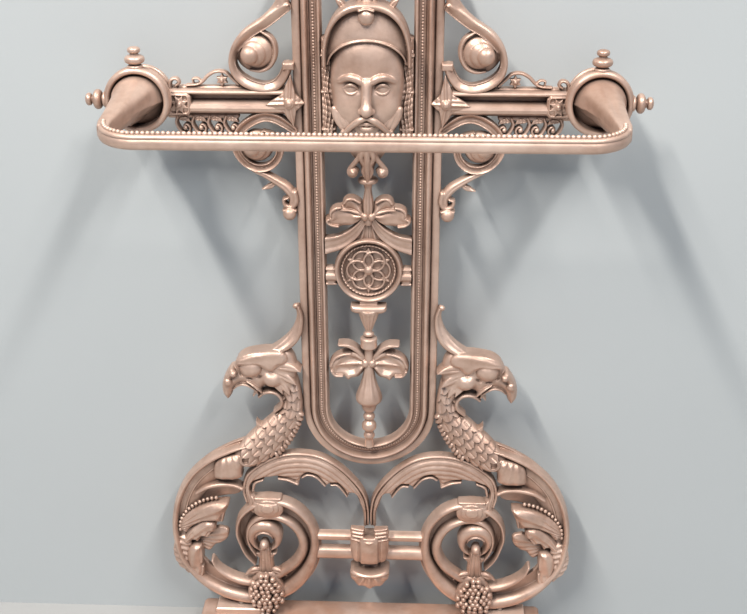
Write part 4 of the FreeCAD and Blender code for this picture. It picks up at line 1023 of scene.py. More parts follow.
# rolled rim standing proud of the cap, with grooves cut inside it
rim = []
for i in range(25):
    a = math.radians(-2 + 184 * i / 24)
    w = rim_width(a)
    rim.append((*rim_place(a, 41.2 - w / 2, 54.6 - w / 2), w))
cast.strap(rim, 12, [37, 40, 41.4, 42, 41.4, 40, 37], 5, 0.2, edge=1.2)
for k in range(-9, 10):
    if abs(k) >= 2:
        a = math.radians(90 + 6.4 * k)
        w = rim_width(a)
        cast.dig(*rim_place(a, 39.9 - w, 53 - w), 52, 2.9, 1.6, 12 - 0.35 * abs(k), 0.8,
                 turn=5.2 * k)
cast.strap(arch_path(36.6, 25.4, 31.5, 6, 2.4), 12, [35, 41, 43.4, 44.4, 43.4, 41, 35], 1.8)
cast.egg(0, 78, 44.5, 7.6, 7.2, 5.6, 0.6)
cast.strap("-6.6 84 2.2, 0 85.6 2.6, 6.6 84 2.2", 30, 47, 2.4, 0.6)
for s in (-1, 1):
    cast.petal((s * 4, 84), (s * 13, 101), s * 2, 9, 14, 26, 7)
    cast.petal((s * 20, 80), (s * 30, 92), s, 7, 14, 24, 4)
cast.petal((0, 82), (0, 114), 0, 12, 14, 29, 7, flute=0.3, curl=-4)
cast.trim(10)
place("mask_hood", cast.mesh())

# long lappets either side of the face
cast = Cast(-45, -27, -54, 62, 9, 38)


def lappet_front(X, Z, plan):
    strand = np.cos(2 * math.pi * (X + 1.3 * np.sin(Z / 7)) / 3.6)
    fold = np.abs(np.cos(math.pi * (Z + 0.35 * X) / 5.6))
    return 23.5 + 4.6 * root(-plan / 4) + 1.0 * strand + 1.3 * fold


cast.plate("-43 56, -37 58, -32.5 50, -30.4 36, -30.6 5, -30 -30, -31.5 -46, -37 -51, -43 -49",
           10, lappet_front)
for z in (-30, 6, 40):
    cast.strap([(-42.6, z, 2.6), (-31, z + 0.6, 2.6)], 12, 27.2, 2.2, 0.6)
cast.egg(-38, -50, 24, 5, 3.4, 4.4, 1)
cast.trim(10)
place_pair("mask_lappet", cast.mesh())

# ------------------------------------------------ pendant inside the frame
place("pendant_stem", pendant_turning("""-74.5 3.4, -78 4.2, -79.2 8.2, -80.6 9.8, -82.4 10,
    -84 8.8, -85.2 5.6, -88 4, -92 3.5, -98 4.4, -103 5.4, -108 5.8, -114 5.4, -120 4.6,
    -125 4.2, -128 3.2""", 40, 3, flutes=8, top=-92, bottom=-124), angle=60)

cast = Cast(-45, 0, -134, -94, 12, 38)
cast.plate("""-2 -121, -3.4 -112, -5.6 -105, -9.5 -101, -15 -98.6, -20.6 -99, -24.6 -102.4,
    -26 -107, -31 -108, -36 -110.6, -38.6 -115, -38.8 -118.6, -42.4 -121, -42.6 -126,
    -38 -129.4, -31 -131, -24 -130, -17 -129.4, -11 -126.4, -6 -123""",
           14, fan_front(17.5, 7.5, 5, -1, -119, 1.2, 9, 1.8), edge=1.1, smooth=3)
for path in ("-8 -104 2.6, -14 -100.6 3.4, -20 -101 3.6, -23.6 -105 3",
             "-27 -109.4 2.6, -32 -110.4 3.4, -36.4 -114 3.2, -36.8 -118 2.6",
             "-38.4 -121.6 2.6, -40.6 -124 3, -37 -127.6 3.2, -30 -129 2.8"):
    cast.strap(path, 14, 24.4, 3, 0.7)
cast.strap("-2 -119 5, -8 -116 4.6, -18 -112.6 3.6, -27 -112 2.6", 14, 22, 4)
cast.egg(-3.2, -119, 25, 3.6, 4.2, 3.6)
place_group("upper_leaf_spray", cast.mesh())

cast = Cast(-44, 0, -160, -118, 11, 28)
cast.strap("-3.5 -122 5.5, -9 -131 8.5, -17.5 -140.4 12, -29 -147.6 15, -43.5 -151 17.4", 12,
           [19, 18.5, 18, 18, 19.5], 4.4, edge=0.9,
           profile="-1.1 0.8, -0.75 1, -0.4 0.72, 0 0.82, 0.35 0.66, 0.75 1, 1.1 0.8")
# gathered cloth hanging between the ribbons
cast.plate("0.6 -121, -3.4 -122, -5.4 -130, -9.4 -137, -15.5 -142.6, -16 -147, 0.6 -147", 12,
           lambda X, Z, plan: 17.5 + 2.6 * root(-plan / 2.5)
           + 0.9 * np.cos(np.arctan2(X, -(Z + 112)) * 30))
cast.trim(left=-43.4, right=0)
place_group("medallion_ribbons", cast.mesh())

# round medallion with a roped rim
MEDALLION_Z = -177.5
cast = Cast(-36, 36, -214, -141, 13, 30)
window = cast.window((-40, 40), (-218, -137), 0)
X, Z = cast.grid(window)
radius = np.hypot(X, Z - MEDALLION_Z)
angle = np.arctan2(Z - MEDALLION_Z, X)
rim_profile = table("""0 18.2, 24.6 18.2, 25.4 20, 26.4 22.2, 27.4 22, 28.2 19.8, 28.8 19.4,
    29.6 21.6, 30.6 24, 32.2 25.4, 33.6 24.6, 34.6 21, 36 20""")   # (radius, front)
front = np.interp(radius, *zip(*rim_profile))
rope = np.where((radius > 25.0) & (radius < 28.2),
                0.5 * np.cos(44 * angle + (radius - 26) * 1.2), 0.0)
cast.relief(window, radius - 34.6, front + rope, 14, 0.8)
for k in range(6):
    a = math.radians(60 * k)
    cx, cz = 11.4 * math.cos(a), MEDALLION_Z + 11.4 * math.sin(a)
    ring = [(cx + 10.4 * math.cos(2 * math.pi * i / 20),
             cz + 10.4 * math.sin(2 * math.pi * i / 20), 2.6) for i in range(21)]
    cast.strap(ring, 15, 19.2 + 0.8 * (k % 2), 3, 0.15, groove=0.6, steps=2)
    b = math.radians(60 * k + 30)
    inner, outer = ((r * math.cos(b), MEDALLION_Z + r * math.sin(b)) for r in (16.2, 24.4))
    cast.petal(inner, outer, 0, 6.4, 15, 18.6, 3, blend=0.2, flute=0.9)
cast.button(0, MEDALLION_Z, 5, 15, 20.4, 4, ring=0.5)
place("medallion", cast.mesh())

cast = Cast(-44, -31, -198, -172, 11, 27)
cast.plate("-43.2 -194.6, -35 -195, -32.2 -190, -32.2 -179, -35 -174.2, -43.2 -174.6", 12,
           lambda X, Z, plan: 19.5 + 2 * unit(-plan / 2))
cast.strap("-43.2 -184.8 8.5, -32.2 -184.8 8.5", 14, 20.5, 3.6)
for s in (-1, 1):
    z = -184.8 + s * 8
    cast.strap([(-43.2, z, 2.6), (-33, z, 2.6)], 14, 20, 2)
cast.trim(left=-43.3)
place_group("medallion_lugs", cast.mesh())

cast = Cast(-20, 20, -253, -210, 10, 38)
cast.plate(symmetric("14 -222.4, 17.6 -221, 18.8 -217.6, 18 -214.2"), 15,
           lambda X, Z, plan: 27.5 + 3.4 * root(-plan / 3) - 2.2 * (X / 18) ** 2, edge=1.2)
cast.plate("-9 -215, 9 -215, 9 -210.6, -9 -210.6", 15, 24)
# fluted drop, turned about the pendant axis
across = cast.x[:, None, None]
upwards = cast.z[None, :, None]
outwards = cast.d[None, None, :] - PENDANT_D
drop_profile = table("""-252 3.4, -250 3.6, -249.4 5, -247.6 5.8, -246.2 5.2, -245 3.6,
    -243 3.4, -238 5.2, -230 8.2, -224 10.2, -221.6 11, -219 11""")   # (z, radius)
drop_radius = np.interp(cast.z, *zip(*drop_profile))[None, :, None]
field = (np.hypot(across, outwards) - drop_radius
         - 0.55 * np.cos(12 * np.arctan2(outwards, across))
         * ((upwards > -243) & (upwards < -222)))
field = np.maximum(field, np.maximum(upwards + 219.0, -251.5 - upwards))
cast.F = soft_min(cast.F, field.astype(np.float32), 0.6)
place("medallion_pendant", cast.mesh())

place("pendant_block", pendant_turning("""-251 5.6, -251.8 8, -253 8.8, -256 8.4, -259 8.6,
    -262 8.8, -263.2 7.8, -264.4 5.8, -268 4.9, -276 4.8, -284 5""", 40, 2), angle=50)

cast = Cast(-45, 0, -305, -254, 12, 38)
cast.plate("""-2 -284, -3 -276, -6.5 -270.5, -12 -267, -19 -266.4, -27 -268.4, -34 -272.4,
    -39.4 -278, -41.8 -285, -41 -292, -37.6 -297, -31 -298, -27 -297.4, -22 -302.4,
    -17.4 -299.6, -11 -298.4, -6 -293""",
           14, fan_front(18, 7.6, 6, -1, -281, 1.2, 8.5, 2.2), edge=1.1, smooth=3)
cast.strap("-3.4 -278 5, -8.4 -270 5.4, -14 -263.8 5, -21.5 -259.4 4.4, -30.6 -258.8 3",
           14, [20, 23, 25, 26, 26], 4, 0.4, groove=0.6)
for path in ("-19 -269 2.6, -28 -271 3.4, -36 -276 3.6, -39.6 -284 3.4",
             "-38.8 -290 3.2, -35 -295 3.4, -28 -295.6 3"):
    cast.strap(path, 14, 24.8, 3, 0.7)
cast.strap("-2 -281 5, -12 -281 4.6, -25 -282 3.6, -36 -284 2.4", 14, 21.6, 4)
cast.egg(-3.4, -281, 25, 3.8, 4.4, 3.6)
place_group("lower_leaf_spray", cast.mesh())

place("pendant_baluster", pendant_turning("""-284 4.6, -290 5.6, -298 7, -306 9.2, -313 11.9,
    -318 13.5, -322 14.1, -325.4 13.4, -327.4 10.8, -329.6 8.6, -334 7.6, -337.6 6, -339.6 4,
    -341.4 4.4, -343.2 5.8, -345.2 6.2, -347.2 5.6, -349 3.8, -351 5.2, -353.4 7.2, -356.6 7.8,
    -359.8 7.2, -362.4 4.8, -363.8 4, -365.4 5, -368 6, -370.6 5.4, -373 4, -377 4.6,
    -382 4.9""", 48, 3, flutes=10, top=-290, bottom=-322), angle=60)

# ----------------------------------------------------------------- griffins
cast = Cast(-164, -62, -410, -212, 11, 44)
# neck with lapping scales
window, distance, offset, along, width, _ = cast.stroke_fields(
    "-84 -306 18, -82 -322 20, -82.5 -336 23, -86 -348 27, -94 -359 32, -104 -371 35, "
    "-116 -384 37, -134 -400 31")
SCALE_LENGTH, SCALE_WIDTH = 10.4, 12
row = np.floor(along / SCALE_LENGTH)
b = along / SCALE_LENGTH - row
a = np.mod(offset / SCALE_WIDTH + 0.5 * np.mod(row, 2), 1.0) - 0.5
inside = b < 0.36 + 0.60 * root(1 - 4 * a * a)
scales = np.where(inside, 0.2 + 3.8 * b - 1.0 * np.exp(-(a / 0.07) ** 2) * (b > 0.15), 0.0)
t = unit(distance / (width / 2))
cast.relief(window, distance - width / 2, 17.5 + 9.0 * root(1 - t * t) + scales, 12, 1)
# cable down the back of the neck
cable = smooth_path("-72.5 -338, -74.5 -349, -79 -361, -85.5 -374, -93.5 -386, -102 -396")
for p, q in spaced(cable, 4.8):
    slope = math.degrees(math.atan2(q[1] - p[1], q[0] - p[0]))
    cast.egg(q[0], q[1], 21.5, 4.6, 2.5, 4.6, 0.5, turn=slope + 62)
# skull and beak
cast.plate("""-150 -326, -155 -320.5, -155.8 -310, -152.5 -300, -146.5 -294, -142.5 -288,
    -139.5 -281, -132.5 -273.5, -124 -269, -109 -266, -92 -266, -83 -269, -78 -277, -76 -288,
    -77 -301, -79 -314, -84 -323, -91 -322, -96 -314, -103 -310, -111 -311, -117.5 -318,
    -120 -315, -126 -310, -132.5 -307.5, -139 -310, -144 -315, -145.6 -320.5""",
           12, puff(21, 9, 13), edge=1.2, blend=0.6, smooth=3)
cast.strap("-143 -290 7, -148.5 -299 7, -151.5 -309 6, -151.5 -318 5, -150 -324 3", 14,
           [29, 28, 25.5, 23.5, 21.5], 4.6, 1.6)
cast.egg(-141.6, -291.8, 32, 4.2, 3.8, 4.4, 0.5, turn=20)
cast.dig(-144.2, -297.6, 36, 3.8, 1.8, 4.6, 0.6, turn=-28)
cast.egg(-148.2, -302.6, 30.4, 4.6, 4.9, 4.6, 0.5)
cast.dig(-150.4, -310.4, 33, 3.6, 1.8, 4, 0.6, turn=-18)
cast.strap("""-144 -313.6 2.6, -139 -308.4 3, -132.5 -305.8 3.2, -126 -308.2 3,
    -120 -313.4 2.8, -117.6 -318.6 2.4""", 14, [24, 26.5, 28, 27.5, 26, 24], 3.4, 0.5)
cast.strap("-128 -302.5 2.6, -122 -305.5 3.4, -116 -311.5 3.4, -113.5 -316 2.6", 16,
           [27, 29.5, 29, 26], 3.6, 0.7)
cast.strap("-115.5 -311 3.4, -119.5 -316.5 3.2, -122.8 -322 2.4", 14, [25, 23.5, 22], 3.4, 0.6)
# wattle
cast.strap("""-117 -323.5 3.6, -111.5 -318 4.4, -103 -315.8 4.6, -96 -319 4.6, -92.6 -326 4.4,
    -94 -334 4.4, -101 -341.5 3.8""", 13, [21.5, 24, 25.5, 25.5, 24.5, 23, 21.5], 4, 0.7)
# cheek, eye and brow
cast.egg(-102, -300, 28, 10, 8, 7, 3, turn=-20)
cast.egg(-123.5, -286.4, 28, 12.4, 10.4, 8.6, 0.5, turn=6)
cast.dig(-134.6, -294, 36.5, 5.4, 2.4, 9, 0.5, turn=-42)
cast.dig(-125.6, -298.6, 37.5, 6.6, 2.4, 10, 0.5, turn=-6)
cast.dig(-115, -296.4, 37, 5.8, 2.4, 9.5, 0.5, turn=34)


def brow_front(X, Z, plan):
    angle = np.arctan2(Z + 279, X + 147)
    return (31.6 + 3.6 * root(-plan / 4) + 0.25 * np.cos(angle * 26) * unit(-plan / 2)
            - 0.10 * np.clip(X + 112, 0, 40))


cast.plate("""-138 -277, -131 -270.5, -121 -267, -108 -265.6, -96 -265.6, -88 -268.6,
    -84.4 -275, -88.5 -281.5, -94 -282.5, -98.6 -287.5, -104 -288.4, -110 -285.5, -114 -282.4,
    -120 -281.6, -127 -283.4, -133 -282.5, -138 -282""", 14, brow_front, blend=0.2, smooth=2)
cast.dig(-101, -291, 38.5, 12, 2.6, 9.5, 0.8, turn=-6)
# ear and neck ruff, as (root, tip, bow, width, height)
for start, tip, bow, wide, height in (
        ((-97, -285), (-71, -289), 2, 11, 27.5), ((-99, -292), (-75.5, -305), 1.5, 11, 27),
        ((-101, -297), (-82.5, -318), 1.5, 11, 26.5), ((-103, -300), (-90.5, -316), 1, 8, 27)):
    cast.petal(start, tip, bow, wide, 13, height, 4, curl=2.2, blend=0.3, vein=1.2)
# crest, one smooth fold from the brow up the edge of the frame
cast.strap("""-99 -268 7, -90 -263.4 10, -81 -256.5 12, -74.6 -247 11, -71.6 -236 8.4,
    -71.2 -227 6.4, -73 -220 4.8""", 12, [25, 24, 22, 20, 18.5, 18, 18.5], 5.5,
           profile="-1.1 0.5, -0.7 0.9, -0.2 1, 0.25 0.62, 0.7 0.5, 1.1 0.3")
cast.egg(-75, -217.8, 20.5, 3.4, 2.8, 3.6, 0.8, turn=30)
cast.petal((-110, -370), (-122, -354), 2, 8, 12, 18, 4.4)
cast.trim(12)
place_pair("griffin", cast.mesh())

# --------------------------------------------------- leaf arches and volutes
outer_edge = table("""-0.4 -489, -0.4 -466, -4 -448, -14 -430, -32 -410, -53 -397, -76 -393,
    -99 -396.5, -120 -407.5, -136.5 -423, -141.5 -443, -139 -460""")
# the lower edge returns in smooth runs that meet at the leaf's points
lower_edge = (
    "-139 -460, -135 -471, -125 -477.5, -110 -478, -99 -475, -95.6 -467, -97 -456, "
    "-104 -451.5, -118 -451",
    "-118 -451, -126 -451.5, -131 -447, -131.5 -439, -127 -432, -118 -428, -109 -426, "
    "-100 -425.5, -92 -427, -85 -430, -78.5 -435",
    "-78.5 -435, -75 -425.5, -68 -420, -60 -422, -54 -428, -48 -437",
    "-48 -437, -43 -433, -36 -432.4, -29 -440, -24 -450",
    "-24 -450, -21 -444.5, -15 -448, -11 -459, -7.4 -471, -7 -489")
outline = list(smooth_path(outer_edge, 4))
for run in lower_edge:
    outline += list(smooth_path(run, 4))[1:]
cast = Cast(-144, 0, -491, -384, 11, 31)
window, _, offset, along, _, length = cast.stroke_fields([(x, z, 60) for x, z in outer_edge], 6)
plan = outline_distance(np.array(outline), *cast.grid(window))
depth = np.abs(offset)   # in from the outer edge
taper = np.interp(along / length, [0, 0.1, 0.35, 0.6, 0.85, 1.0],
                  [0.34, 0.5, 0.95, 1.05, 0.8, 0.6])
q = (depth - 3.4) / (6.0 * taper)
inner = unit((depth - 3.0) / 1.5)
flutes = 1.15 * np.abs(np.cos(math.pi * q)) - 0.3
swell = 3.4 * np.sin(unit(depth / (34.0 * taper)) * math.pi) ** 0.8
front = 17.0 + 2.6 * root(-plan / 4) + (flutes + swell) * inner * unit(-plan / 2.5)
cast.relief(window, plan, front, 12, 0.8)
cast.strap("""-1.6 -484 2.6, -1.8 -466 3, -5.4 -448 3.2, -15 -431 3.6, -33 -411.4 3.8,
    -53.6 -398.8 4, -76 -395 4, -98.5 -398.4 4, -119 -409.2 4, -134.6 -424 3.8,
    -139.6 -443 3.6, -137 -458 3.2""", 12, 19.6, 3.6, 0.35)
# turned-back lips of the leaf at each point
for path in ("-100 -427.2 3, -90 -429 3.6, -79.4 -434 3",
             "-74 -425.1 2.6, -67.5 -421.6 3, -58 -425 3.2, -49.2 -435.4 2.6",
             "-42.5 -434.2 2.4, -36 -434.2 2.8, -30 -440.6 2.8, -25 -448.4 2.2",
             "-118 -429.4 3, -127 -434.2 3.4, -129.6 -443.6 3"):
    cast.strap(path, 12, 19.4, 3.4, 0.5)
cast.trim(12, right=-0.15)
place_pair("leaf_arch", cast.mesh())

cast = Cast(-132, -94, -481, -447, 11, 34)


def volute_front(X, Z, plan):
    """Rolled end seen edge on: a domed block with the coil showing as steps."""
    dome = 21.0 + 7.5 * root(1 - ((X + 113) / 19.5) ** 2 - ((Z + 464) / 16.5) ** 2)
    q = np.hypot((X + 113) / 1.25, Z + 462.5)
    step = (1.1 * (q < 9.6) + 1.3 * (q < 5.4)
            - 0.9 * np.exp(-((Z + 456.6) / 0.9) ** 2) * (q > 5.4))
    return dome + step


cast.plate("""-129.5 -454, -126 -451, -101 -451.3, -97 -454.5, -95.8 -463, -97.5 -471.5,
    -104 -477, -119 -477.6, -127.5 -474, -130.6 -465""", 12, volute_front, edge=1.6, smooth=3)
cast.strap("-127 -452.6 3.4, -113 -451.6 3.6, -99.5 -452.6 3.4", 12, [22, 24, 22], 3.2, 0.4)
place_group("arch_volutes", cast.mesh())

# ------------------------------------------------------------- base scrolls
cast = Cast(-230, -52, -608, -378, 9, 34, VOXEL * 1.05)
# hollow ground of the spiral
cast.strap("""-125 -386 20, -148 -398 24, -172 -412 22, -192 -432 20, -206 -456 19,
    -212.5 -482 19, -213 -508 19, -207 -534 22, -196 -556 27, -178 -574 31, -155 -584 32,
    -130 -587 32, -106 -579 30, -86 -563 28, -72 -541 26, -68 -516 25, -73 -492 25,
    -87 -473 25, -107 -464 22, -127 -469 18, -142 -483 14, -146.5 -500 12, -142 -515 9,
    -134 -522 6""", 10, 13.5, 2.2, profile="hollow", edge=0.9)
# broad leaf blade between the left rim and the acanthus
cast.strap("""-128 -393 14, -150 -402 22, -172 -416 27, -189 -434 28, -202 -456 24,
    -209 -482 18, -210.5 -508 12, -206 -532 8""", 10, [16, 16.5, 17, 17, 16.5, 16, 15.5, 15],
           3.2, 0.5, "-1.1 0.2, -0.8 0.7, -0.3 1, 0.3 0.85, 0.8 0.35, 1.1 0")
# outer and inner ridges
cast.strap("""-132 -385 4, -150 -391.5 6, -176 -405.5 7, -197 -425.5 7, -211.5 -452 7.4,
    -218.6 -481 7.6, -219.4 -509 7.6, -214 -536 8, -201.5 -557 10, -185.5 -573 13,
    -163 -586 15, -134 -591.6 16, -107 -585 17, -85.4 -568.5 17.6, -70 -545 14.5,
    -62.6 -518 10.4, -65.6 -489 9.6, -81.6 -467 9.2, -104 -457 8.6, -128 -462.4 7.6,
    -144.6 -478 6, -149.6 -498 5, -146.4 -514 4.6, -140.4 -529 4, -131 -541 3""",
           12, 17.5, 9, 0.3)
cast.strap("""-180 -538 4, -176 -547.5 6, -168.5 -556 8, -157.5 -563.4 9.6, -145 -568 10.4,
    -130 -568.6 10.8, -110 -560.6 10.8, -97 -551.6 11, -85.6 -541.4 11.4, -78 -529 11.6,
    -75.2 -516 11.6, -77.2 -503.6 11.2, -83.6 -491.6 10.6, -94 -482.4 9.8, -108 -477 9,
    -123 -479 8, -134 -488.5 6.6, -138 -502 5.4, -136 -516 4.6, -129.4 -529 3.4""",
           12, 17.2, 8.6, 0.3)
cast.strap("""-139 -397 2, -160 -408.5 2.4, -180 -423.5 2.6, -195 -442 2.6, -204.5 -464 2.6,
    -208.5 -487 2.4""", 12, 19, 2.2, 0.4)
cast.plate("""-203 -506, -211 -505, -218.5 -509, -223.5 -518, -225 -530, -222.5 -543,
    -215.5 -553, -206 -556""", 12, lambda X, Z, plan: 19 + 4 * root(-plan / 6)
           + 0.8 * np.cos((Z + 0.3 * X) * 0.9), edge=1, blend=0.3, smooth=3)
cast.trim(10)
place_pair("base_scroll", cast.mesh(adapt=0.03))

# hook at the heart of each scroll, and the stem below it
GRAPE_X = -119   # centre line of the hook and the grapes
cast = Cast(-140, -96, -554, -480, 11, 38)
cast.strap("""-112.6 -522.5 4, -106 -516 7, -103.6 -506 10, -106 -497 12.6, -112 -490.6 14,
    -119 -488.6 14.4, -126 -490.8 14, -131.6 -497 12.6, -133.6 -506 10, -131 -516 7,
    -125.6 -522.5 4""", 12, [15.5, 17, 19, 20.5, 21.5, 22, 21.5, 20.5, 19, 17, 15.5], 7.6, 0.4,
           edge=1.2)
cast.strap("""-109.4 -507.5 2.4, -110.5 -501 2.6, -114 -497 2.8, -119 -495.4 2.8,
    -124 -497 2.8, -127.6 -501 2.6, -128.8 -507.5 2.4""", 12, [20, 24, 26, 26.5, 26, 24, 20],
           2.6, 0.3)
cast.dig(-119, -506, 34, 9.4, 6, 13, 0.8)
cast.egg(-119.2, -512.4, 24.5, 5.2, 5.8, 8, 0.5)
cast.strap("-119.4 -514 9, -119.2 -522 13, -119 -534 15.6, -119 -544 17.4, -119 -552 18.4", 14,
           [19, 19.5, 20, 20], 6.4, 0.6, groove=1.2)
for s in (-1, 1):
    cast.strap([(GRAPE_X + s * 4, -520, 1.6), (GRAPE_X + s * 5.2, -534, 1.8),
                (GRAPE_X + s * 6, -549, 1.8)], 14, 24.4, 1.8, 0.5)
    cast.petal((GRAPE_X + s * 4, -536), (GRAPE_X + s * 13, -527), s * 2, 6.6, 13, 19, 4.4)
cast.trim(12)
place_pair("scroll_hook", cast.mesh())

# acanthus inside the back of each scroll: broad leaves curling forward
cast = Cast(-219, -134, -566, -386, 11, 36)
blades = (
    ("""-136.5 -394, -150 -396, -162 -400, -169.5 -407, -171.5 -417, -170.5 -426.5,
        -158 -427.5, -146 -426.6, -140.5 -424, -139 -414, -135.5 -405""",
     12, curled(18, 8.6, 9, (-153, -421), 5, 30, 0.55, (-160, -372), 7)),
    # hollow between the scroll and the leaves, closed at the back
    ("""-143 -440, -152 -435, -166 -435.5, -182 -440, -196 -452, -205 -466, -196 -470,
        -180 -462, -164 -456, -146 -452""", 12, 13.2),
    ("""-160 -500, -168 -496, -176 -497, -186 -503, -195 -513, -192 -526, -184 -530,
        -177 -522, -170 -519, -162 -511""",
     12, curled(13.6, 3.2, 7, (-162, -503), 2, 20, 0.4, (-204, -512), 7)),
    ("""-191 -517, -199 -516, -206.5 -522, -209.6 -534, -209.6 -548, -207 -561, -200 -567.5,
        -192 -564, -190.4 -553, -192 -544, -190.6 -534, -191.6 -525""",
     12, curled(16.5, 8, 8, (-193, -520), 5, 30, 0.5, (-213, -590), 7)),
    ("""-173.5 -485.5, -184 -483.5, -197 -491, -208 -501, -213.4 -515, -207 -518.5, -201 -512,
        -195.5 -514.5, -190.5 -506, -184.5 -507, -180.5 -498, -175 -497.5""",
     12, curled(17.5, 6.6, 6, (-178, -488), 5, 26, 0.55, (-217, -522), 8)),
    ("""-157 -457.5, -166 -457, -182 -461, -198 -469, -210.5 -480, -216 -494, -208 -501.5,
        -201.5 -494, -194.5 -490, -184.5 -485.5, -175.5 -484.5, -166.5 -484, -165 -475,
        -160.5 -468""",
     14, curled(18, 8, 9, (-162, -462), 6, 34, 0.6, (-222, -496), 9)),
)
for outline, back, front in blades:
    cast.plate(outline, back, front, edge=1, blend=0.1, smooth=3)
# turned lips along the leaf fronts, as (path, base)
for path, base in (
        ("-141 -422.5 3, -149 -425 4, -160 -425.6 4.2, -169.5 -424 3.2", 22.5),
        ("-141 -439.5 4, -150 -435.4 4.8, -164 -434.8 5.2, -180 -438.6 4.8, -192 -446 3.6", 23.5),
        ("-158 -459.5 3, -163.4 -471.5 3.6, -165.6 -481.5 3", 24),
        ("-177 -489 3, -179.6 -496.5 3.4, -184.5 -503.5 3", 23),
        ("-192.4 -519.5 3, -192 -530 3.4, -192.6 -540 3", 22),
        ("-191.6 -547.5 2.6, -192.6 -556 3, -196.6 -564.5 3", 20.5)):
    cast.strap(path, 12, base, 3.2, 0.9)
cast.trim(12)
place_pair("acanthus", cast.mesh())

pearl_line = smooth_path("""-166 -453, -178 -454.6, -189 -459, -199.5 -466, -208 -475.5,
    -213.4 -487, -214.4 -499""", 12)
place_group("scroll_pearls", bead_cluster(
    [(b[0], b[1], 21.5, 2.1) for _, b in spaced(pearl_line, 4.4)], 14, 9))

# grapes, a little irregular as a wax pattern leaves them
GRAPE_PITCH, GRAPE_ROW, GRAPE_RADIUS = 6.3, 5.3, 3.3
rng = np.random.default_rng(7)
cast = Cast(-150, -88, -614, -546, 16, 42, VOXEL * 0.85)
cast.plate(symmetric("""-119 -549, -108 -554, -100 -568, -97 -581, -103 -593, -112 -604,
    -119 -608""", GRAPE_X), 19, puff(23, 6, 12), smooth=3)
z = -551.5
i = 0
while z > -610:
    half = float(np.interp(-z, [551, 556, 563, 572, 582, 592, 602, 610],
                           [5, 10, 15.5, 19, 20, 16, 9, 1.5]))
    n = max(1, int(round(2 * half / GRAPE_PITCH)))
    for k in range(n):
        x = (GRAPE_X + (k - (n - 1) / 2.0) * GRAPE_PITCH
             + (1.3 if i % 2 else -1.3) * (n > 1) + rng.uniform(-0.8, 0.8))
        off = abs(x - GRAPE_X) / 20.0
        cast.egg(x, z + rng.uniform(-0.8, 0.8),
                 33.0 - 6.5 * off ** 2 - 2.5 * max(0.0, (-z - 590) / 20.0),
                 GRAPE_RADIUS + rng.uniform(-0.35, 0.3), GRAPE_RADIUS + rng.uniform(-0.3, 0.3),
                 4.2, 0.2)
    z -= GRAPE_ROW
    i += 1
for s in (-1, 1):
    cast.leaf((GRAPE_X, -551), (GRAPE_X + s * 24, -557), s * 3, 10, 18, 21, 3.6, lobes=2,
              notch=0.06)
cast.trim(19)
place_pair("grape_bunch", cast.mesh())

# -------------------------------------------------------------- tie and knop
tie_bars = [moulding(-60, -17.5, profile) for profile in (
    """-498.4 13, -498.6 17, -499.6 20.4, -501.4 22.4, -505.2 22.6, -507.4 21, -508.6 18,
       -508.8 13""",
    """-518.4 13, -518.6 17.4, -519.8 20.8, -522.4 22.8, -529.4 22.8, -532.6 21, -534 17.6,
       -534.2 13""")]
place_group("tie_bars", joined(tie_bars), angle=40)

cast = Cast(-25, 25, -572, -478, 9, 46)


def knop_front(X, Z, plan):
    """Barrel with a raised middle panel between two grooves."""
    sweep = np.interp(Z, [-543, -536, -533, -529, -523, -510, -499, -493],
                      [22, 22.5, 27, 33, 36.5, 38.5, 38.0, 35.5])
    barrel = 22.0 + (sweep - 22.0) * root(1 - (X / 23.2) ** 2) ** 0.9
    panel = unit((10.4 - np.abs(X)) / 1.0) * unit((Z + 533) / 3.0)
    return (barrel + panel * (1.2 + 1.4 * root(1 - (X / 11.0) ** 2))
            - 1.3 * np.exp(-((np.abs(X) - 12.0) / 0.9) ** 2) * (Z > -532))


cast.plate(symmetric("20.5 -493, 21.6 -501, 21.3 -516, 19.4 -526, 14.5 -531.5, 9 -534, 9 -543"),
           10, knop_front, edge=1.4)
# the back of the shoulder slopes away
slope = (12.0 + (cast.z[None, :, None] + 507.0) * 1.25 - cast.d[None, None, :]) * 0.62
cast.F = soft_max(cast.F, slope.astype(np.float32), 1.0)
for s in (-1, 1):
    cast.plate(flip("5.5 -483, 20.5 -482.5, 21.6 -489, 20.6 -495, 5 -495", s), 26,
               lambda X, Z, plan: 34.5 + 2.4 * unit(-plan / 2)
               + 0.9 * np.cos((Z + 488) * 1.3) - 0.010 * X ** 2, edge=1)
cast.strap("-20 -497.4 2.2, 0 -497.4 2.4, 20 -497.4 2.2", 12, [31, 39.5, 31], 2.2, 0.6)


def cup_front(X, Z, plan):
    below = np.clip(-547 - Z, 0, 30) / 21.0
    dome = 22 + 16.5 * root(1 - (X / 24.5) ** 2 - below ** 2)
    a = np.arctan2(X, (Z + 532) * -1.0)
    flutes = 1.3 * np.cos(a * 15.0) * (Z < -546.4)
    lip = 2.0 * np.exp(-((Z + 543.8) / 1.7) ** 2)
    return dome + flutes + lip


cast.plate(symmetric("""18.5 -541, 22 -543.6, 22.4 -548, 20 -555, 14.5 -561, 7.5 -565,
    0 -566"""), 10, cup_front, edge=1.4)
cast.dig(0, -537.4, 42, 22, 4.2, 17, 1)
cast.egg(0, -566.4, 25, 4, 3.2, 4)
cast.trim(10)
place("tie_knop", cast.mesh())

# -------------------------------------------------------------- top cresting
cast = Cast(-44, 44, 168, 231, 11, 34)
